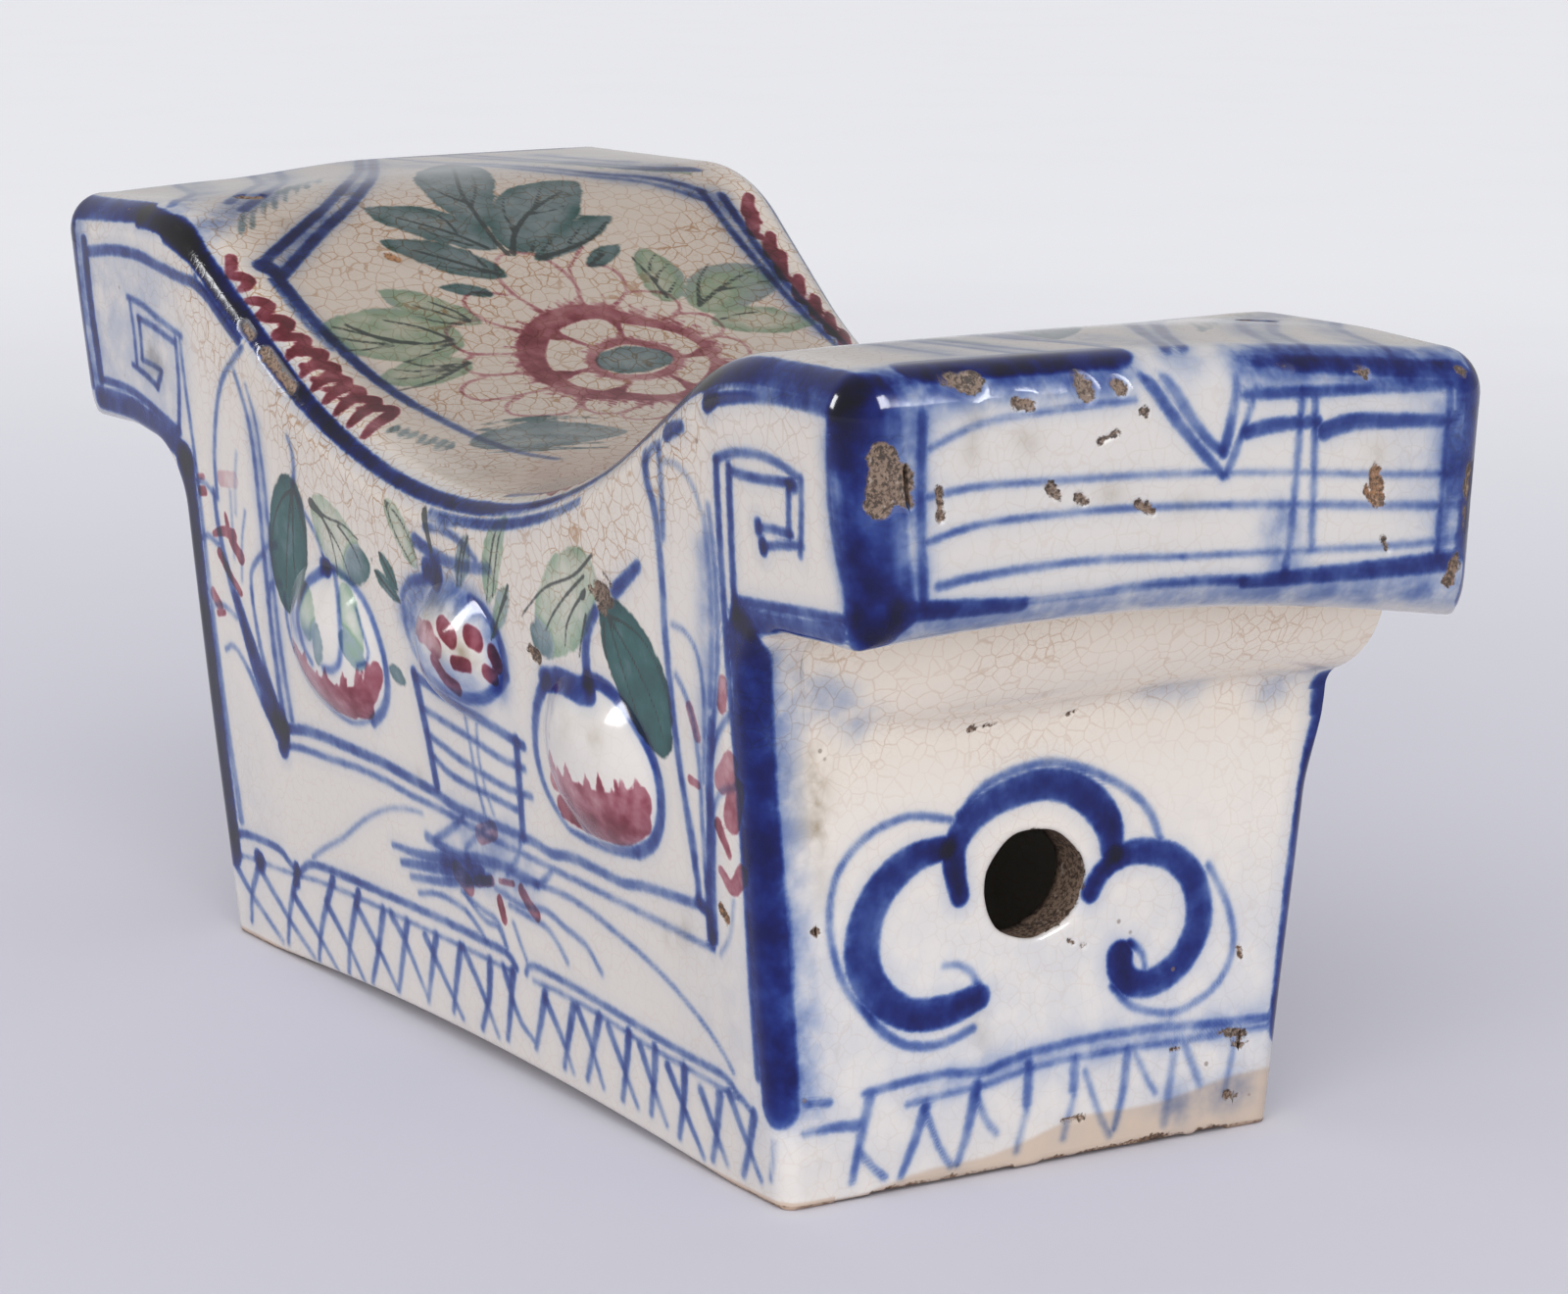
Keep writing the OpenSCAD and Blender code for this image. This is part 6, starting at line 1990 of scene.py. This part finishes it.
@dataclass
class EndWall(Skin):
    """End wall with its firing vent."""

    end: int = 1
    around: int = 560
    rows: int = 84
    rim: float = 1.7
    toe: float = 1.4

    def build(self) -> bpy.types.Object:
        """Make the wall as a ring of spokes from its outline to the vent and back behind.

        Returns:
            The finished object.
        """
        f = self.form
        lip, bore = 7, 4
        count = 1 + self.rows + lip + bore
        bm, col, row = self.grid(self.around, count + 1)
        wide = 2 * float(f.inner_y(f.head_under / 2))
        tall = f.head_under
        s = (col % self.around) / self.around * 2 * (wide + tall)
        sides = [s < wide, s < wide + tall, s < 2 * wide + tall, s >= 2 * wide + tall]
        across = np.select(sides, [s / wide, 1, (2 * wide + tall - s) / wide, 0])
        up = np.select(sides, [0, (s - wide) / tall, 1, (2 * (wide + tall) - s) / tall])
        edge_z = up * tall
        edge_y = f.inner_y(edge_z) * (2 * across - 1)
        bearing = np.arctan2(edge_z - f.vent_z, edge_y - f.vent_y)
        rough = 1 + 0.03 * np.sin(2 * bearing + 0.8) + 0.022 * np.sin(3 * bearing + 2.0)
        rough = rough + 0.012 * np.sin(7 * bearing)
        vent = f.vent_r * rough - 0.15
        lipped = vent + self.rim * (1 + 0.4 * np.sin(bearing * 2 + 2.4))
        share = np.clip((row - 1) / self.rows, 0, 1)
        share = 1 - (1 - share) ** 1.25
        mouth_y, mouth_z = f.vent_y + lipped * np.cos(bearing), f.vent_z + lipped * np.sin(bearing)
        y, z = edge_y + (mouth_y - edge_y) * share, edge_z + (mouth_z - edge_z) * share
        turn = np.clip((row - 1 - self.rows) / lip, 0, 1) * np.pi / 2
        shrink = (lipped - vent) * np.sin(turn)
        y, z = y - shrink * np.cos(bearing), z - shrink * np.sin(bearing)
        depth = (lipped - vent) * (1 - np.cos(turn))
        inward = np.clip((row - 1 - self.rows - lip) / bore, 0, 1)
        depth = depth + inward * (f.wall - depth)
        behind = (row == 0) | (row == count + 1)
        depth = np.where(behind, f.wall, depth)
        y, z = np.where(behind, edge_y, y), np.where(behind, edge_z, z)
        curve = np.sqrt(self.toe ** 2 - np.clip(self.toe - z, 0, self.toe) ** 2)
        depth = depth + ~behind * (self.toe - curve)
        x = f.body_mid + self.end * (f.half_x(z) - depth)
        self.move(bm, np.stack([x, y, z], 1))
        bmesh.ops.remove_doubles(bm, verts=bm.verts, dist=1e-5)
        for e in bm.edges:
            e.smooth = not all(self.on_rim(v.co) for v in e.verts)
        return self.publish(bm)

    def on_rim(self, at: Vector) -> bool:
        """Tell whether a point lies on the wall's outline."""
        beside = abs(abs(at.y) - float(self.form.inner_y(at.z)))
        return beside < 1e-3 or at.z < 1e-3 or at.z > self.form.head_under - 1e-3

    def bare(self, at: Array) -> Array:
        """Bare along the foot."""
        return np.maximum(foot_bare(at[:, 1], at[:, 2]), 1 - smooth(0.3, 0.9, at[:, 2]))

    def wear(self, at: Array, fields: dict[str, Array]) -> None:
        """Leave the vent's bore and lip as rough, dark clay."""
        x, y, z = at.T
        f = self.form
        inside = np.abs(f.half_x(z) - np.abs(x - f.body_mid))
        bearing = np.arctan2(z - f.vent_z, y - f.vent_y)
        ragged = 1.07 + 0.05 * np.sin(3 * bearing + 1) + 0.03 * np.sin(8 * bearing)
        away = np.hypot(y - f.vent_y, z - f.vent_z) - f.vent_r * ragged
        bore = np.where(inside > 0.9, -1.0, np.maximum(away, 0.9 - inside * 1.2))
        here = bore < fields["chip"][:, 0]
        fields["chip"][here, 0] = bore[here]
        fields["chip"][here, 1] = 0.12


@dataclass
class Roll(Skin):
    """Convex roll under a head, eased into the end wall below."""

    end: int = 1
    along: int = 200
    blend_r: float = 4.5
    sunk: float = 1.5
    proud: float = 0.06

    def build(self) -> bpy.types.Object:
        """Make the roll.

        Returns:
            The finished object.
        """
        f = self.form
        core = f.roll_reach - f.roll_r
        fillet_z = f.head_under - math.sqrt((f.roll_r + self.blend_r) ** 2 - (self.blend_r - core) ** 2)
        lean = math.atan2(f.head_under - fillet_z, self.blend_r - core)
        fillet = [
            (self.blend_r - self.blend_r * math.cos(a),
             fillet_z + self.blend_r * math.sin(a)) for a in np.linspace(0, lean, 16)]
        bulge = [
            (core + f.roll_r * math.cos(a),
             f.head_under + f.roll_r * math.sin(a)) for a in np.linspace(-lean, 0, 52)]
        back = [(-self.sunk, f.head_under), (-self.sunk, fillet_z)]
        tip = [(-self.proud, fillet_z - 1.0)]
        profile = np.array(tip + fillet + bulge[1:] + back + tip)
        bm, col, row = self.grid(self.along, len(profile) - 1)
        out, z = profile[row, 0], profile[row, 1]
        share = col / self.along
        y = -f.inner_y(z) + share * (f.inner_y(z) + f.outer_y(z))
        away = y + f.inner_y(z)
        grow = 0.12 + 0.88 * smooth(0, 26, away)
        drop = (1 - smooth(0, 30, away)) * 3.0 * np.clip((f.head_under - z) / 20, 0, 1)
        swell = 1 + 0.05 * np.sin(y / 16 + 0.5)
        out = np.where(out > 0, out * grow * swell, out)
        z = z + drop + 0.8 * np.sin(y / 21) * np.clip((f.head_under - z) / 20, 0, 1)
        x = f.body_mid + self.end * (f.half_x(np.minimum(z, f.head_under)) + out)
        self.move(bm, np.stack([x, y, z], 1))
        bmesh.ops.remove_doubles(bm, verts=bm.verts, dist=1e-5)
        open_edges = [e for e in bm.edges if e.is_boundary]
        for e in open_edges:
            e.smooth = False
        bmesh.ops.holes_fill(bm, edges=open_edges, sides=0)
        return self.publish(bm)


@dataclass
class Fruit(Skin):
    """Fruit pressed on a long wall: a low swelling whose rim melts into the wall."""

    side: int = -1
    middle: Pair = (0.0, 0.0)
    size: Pair = (39.0, 30.0)
    relief: float = 5.0
    dimple: float = 0.05
    lumps: float = 0.0
    cells: int = 96
    sight: Pair = (1.716, 0.475)

    def build(self) -> bpy.types.Object:
        """Make the fruit.

        Returns:
            The finished object.
        """
        f = self.form
        bm, col, row = self.grid(self.cells, self.cells)
        u, v = 2 * col / self.cells - 1, 2 * row / self.cells - 1
        a, b = u * np.sqrt(1 - v * v / 2), v * np.sqrt(1 - u * u / 2)
        rho = np.minimum(np.hypot(a, b), 1.0)
        bearing = np.arctan2(b, a)
        notch = 1 - self.dimple * np.exp(-((bearing - math.pi / 2) / 0.35) ** 2)
        seeds = self.lumps * np.sin(a * 9 + 1.2 * b) * np.sin(b * 8 - 0.8) * (1 - rho ** 2)
        height = self.relief * np.clip((1 - rho ** 2.5) ** 1.25 + seeds, 0, 1) - 0.08
        height = height * (1 - self.dimple * 4 * np.exp(-(a / 0.2) ** 2 - ((b - 0.85) / 0.25) ** 2))
        along, rise = a * notch * self.size[0] / 2, b * notch * self.size[1] / 2
        x = self.middle[0] + along
        slope = self.middle[1] / math.cos(f.wall_lean) + rise
        flip = -self.side
        self.move(bm, self.stand(x, slope, height, flip))
        edges = [e for e in bm.edges if e.is_boundary]
        made = bmesh.ops.extrude_edge_only(bm, edges=edges)["geom"]
        inward = np.array([0.0, flip * math.cos(f.wall_lean), math.sin(f.wall_lean)])
        for vert in (g for g in made if isinstance(g, bmesh.types.BMVert)):
            vert.co = np.array(vert.co) + inward * 0.7
        edges = [g for g in made if isinstance(g, bmesh.types.BMEdge) and g.is_boundary]
        for e in edges:
            e.smooth = False
        bmesh.ops.holes_fill(bm, edges=edges, sides=0)
        return self.publish(bm, self.brush_place)

    def stand(self, x: Array, slope: Array, height: Array, flip: int) -> Array:
        """Put points of the fruit on the leaning wall; flip is 1 on the front and -1 on the back."""
        f = self.form
        out = f.foot_depth / 2 + slope * math.sin(f.wall_lean) + height * math.cos(f.wall_lean)
        z = slope * math.cos(f.wall_lean) - height * math.sin(f.wall_lean)
        return np.stack([f.body_mid + flip * x, -flip * out, z], 1)

    def brush_place(self, at: Array) -> Array:
        """Slide raised points back to the wall along the painter's sight line."""
        f, flip = self.form, -self.side
        proud = (np.abs(at[:, 1]) - f.outer_y(at[:, 2])) * math.cos(f.wall_lean)
        x = at[:, 0] - flip * self.sight[0] * proud
        z = at[:, 2] - self.sight[1] * proud
        return np.stack([x, -flip * f.outer_y(z), z], 1)

    def tone(self, at: Array) -> Array:
        """Cream of the wall around, less crazed."""
        return self.form.side_tone(at[:, 0], at[:, 2], self.side) * np.array([0.7, 0.7, 0.6])

    def bare(self, at: Array) -> Array:
        """Glazed all over."""
        return 0 * at[:, 2]


@dataclass(frozen=True)
class Studio:
    """Pale floor with painted light, soft lamps and the camera."""

    yaw: float = 58.81
    pitch: float = 10.83
    lens: float = 101.27
    floor: tuple = (0.715, 0.71, 0.78)
    # The brighter far colour of the floor's painted light.
    far_floor_light: tuple = (0.95, 0.955, 0.98)
    sun: float = 2.32
    sun_spread: float = math.radians(70)
    sun_way: tuple = (-0.73, 0.54, -0.38)
    ambient: float = 0.58

    def ground(self) -> None:
        """Lay a wide pale floor with painted light: its colour brightens with distance, and sooner towards
        the right-back.
        """
        bm = bmesh.new()
        bmesh.ops.create_circle(bm, cap_ends=True, cap_tris=False, segments=96, radius=12.0)
        mesh = bpy.data.meshes.new("studio_floor")
        bm.to_mesh(mesh)
        bm.free()
        t = Tree("studio_paper")
        at = t.node("ShaderNodeTexCoord", None, None, "Object")
        far = t.node("ShaderNodeVectorMath", {"operation": "LENGTH"}, {0: at}, "Value")
        side = t.node(
            "ShaderNodeVectorMath", {"operation": "DOT_PRODUCT"}, {0: at, 1: (0.52, 0.85, 0.0)}, "Value")
        # Painted light: the floor turns from the near grey to the brighter far colour with distance, and
        # sooner on the right-back side where more light falls.
        body = t.colour((far + side.most(0.0) * 0.5).ease(0.12, 1.5), self.floor, self.far_floor_light)
        mottle = t.noise(at, 9, 3)
        body = t.colour(mottle.ease(0.4, 0.8) * 0.06, body, (0.8, 0.8, 0.8), "MULTIPLY")
        shader = t.node(
            "ShaderNodeBsdfPrincipled", None,
            {"Base Color": body, "Roughness": 0.85, "Specular IOR Level": 0.15})
        t.node("ShaderNodeOutputMaterial", None, {0: shader})
        mesh.materials.append(t.material)
        obj = bpy.data.objects.new("studio_floor", mesh)
        bpy.context.scene.collection.objects.link(obj)

    def lamp(self, name: str, at: tuple, size: Pair, power: float, aim: tuple = (0.0, 0.0, 0.09)) -> None:
        """Hang one soft box.

        Args:
            name: Name of the lamp.
            at: Its place, in metres.
            size: Its width and height, in metres.
            power: Its power in watts.
            aim: The point that it faces.
        """
        data = bpy.data.lights.new(name, "AREA")
        data.shape, data.size, data.size_y, data.energy = "RECTANGLE", size[0], size[1], power
        obj = bpy.data.objects.new(name, data)
        bpy.context.scene.collection.objects.link(obj)
        obj.location = at
        obj.rotation_euler = (Vector(aim) - Vector(at)).to_track_quat("-Z", "Y").to_euler()
        obj.visible_diffuse = False

    def build(self) -> None:
        """Set the floor, the lamps, the world and the camera."""
        self.ground()
        data = bpy.data.lights.new("sky_panel", "SUN")
        data.energy, data.angle = self.sun, self.sun_spread
        sky = bpy.data.objects.new("sky_panel", data)
        bpy.context.scene.collection.objects.link(sky)
        sky.rotation_euler = Vector(self.sun_way).to_track_quat("-Z", "Y").to_euler()
        sky.visible_glossy = False
        self.lamp("flash", (0.95, 0.32, 0.63), (0.34, 0.46), 10.0)
        self.lamp("side_flash", (-0.5, -1.0, 0.6), (0.3, 0.5), 9.5)
        world = bpy.data.worlds.new("studio")
        world.use_nodes = True
        ambient = world.node_tree.nodes["Background"]
        ambient.inputs[0].default_value = (0.97, 0.97, 1.0, 1.0)
        ambient.inputs[1].default_value = self.ambient
        bpy.context.scene.world = world
        bpy.context.scene.view_settings.view_transform = "Standard"
        data = bpy.data.cameras.new("camera")
        data.lens, data.sensor_width, data.sensor_fit = self.lens, 36.0, "HORIZONTAL"
        data.clip_start, data.clip_end = 0.01, 60.0
        cam = bpy.data.objects.new("camera", data)
        bpy.context.scene.collection.objects.link(cam)
        cam.location = [c * MM for c in Form().eye]
        cam.rotation_euler = (math.radians(90 - self.pitch), 0.0, math.radians(self.yaw))
        bpy.context.scene.camera = cam


def main() -> None:
    """Load the frame, build and dress every piece, and set the scene."""
    logging.basicConfig(level=logging.INFO, format="%(name)s %(message)s")
    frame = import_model()
    form = Form()
    art = Painting(form)
    for face in (Face.FRONT, Face.BACK):
        FrontPainting(art, face)
    EndPainting(art, Face.RIGHT_END, Face.RIGHT_HEAD)
    EndPainting(art, Face.LEFT_END, Face.LEFT_HEAD)
    for face in (Face.TOP, Face.TOP_TURNED):
        TopPainting(art, face)
    paint_edges(art)
    LOG.info("%d marks", len(art.strokes))
    glaze, clay = Glaze().build(), Clay().build()
    ware = dict(form=form, art=art, finish=glaze)
    LongWall(
        name="front_skin", replaces="front_wall", slot="painted_glaze", side=-1, coved=True, **ware).build()
    LongWall(
        name="back_skin", replaces="back_wall", slot="painted_glaze", side=1, coved=False, **ware).build()
    SaddleTop(name="saddle_skin", replaces="saddle_top", slot="painted_glaze", **ware).build()
    for end, word in ((-1, "left"), (1, "right")):
        HeadFace(
            name=f"{word}_head_skin", replaces=f"{word}_head_face", slot="painted_glaze", end=end,
            **ware).build()
        EndWall(
            name=f"{word}_end_skin", replaces=f"{word}_end_wall", slot="painted_glaze", end=end,
            **ware).build()
        Roll(name=f"{word}_roll_skin", replaces=f"{word}_roll", slot="painted_glaze", end=end, **ware).build()
        HeadFloor(
            name=f"{word}_floor_skin", replaces=f"{word}_head_floor", slot="bare_clay", form=form, art=art,
            finish=clay).build()
    fruit = (
        ("left_peach", (-41.5, 67.5), (39.0, 30.0), 5.0, 0.05, 0.0),
        ("pomegranate", (8.5, 74.0), (31.0, 24.0), 6.0, 0.0, 0.03),
        ("right_peach", (55.5, 63.5), (39.0, 30.0), 5.0, 0.05, 0.0))
    turned = {"left_peach": "right_peach", "right_peach": "left_peach"}
    for side, word in ((-1, "front"), (1, "back")):
        for kind, middle, size, relief, dimple, lumps in fruit:
            node = kind if side < 0 else turned.get(kind, kind)
            Fruit(
                name=f"{word}_{node}_skin", replaces=f"{word}_{node}", slot="relief_fruit", side=side,
                middle=middle, size=size, relief=relief, dimple=dimple, lumps=lumps, **ware).build()
    for node, obj in frame["nodes"].items():
        if node.endswith("coil") or node == "base_slab":
            obj.data.materials.clear()
            obj.data.materials.append(clay)
    Studio().build()


if __name__ == "__main__":
    main()
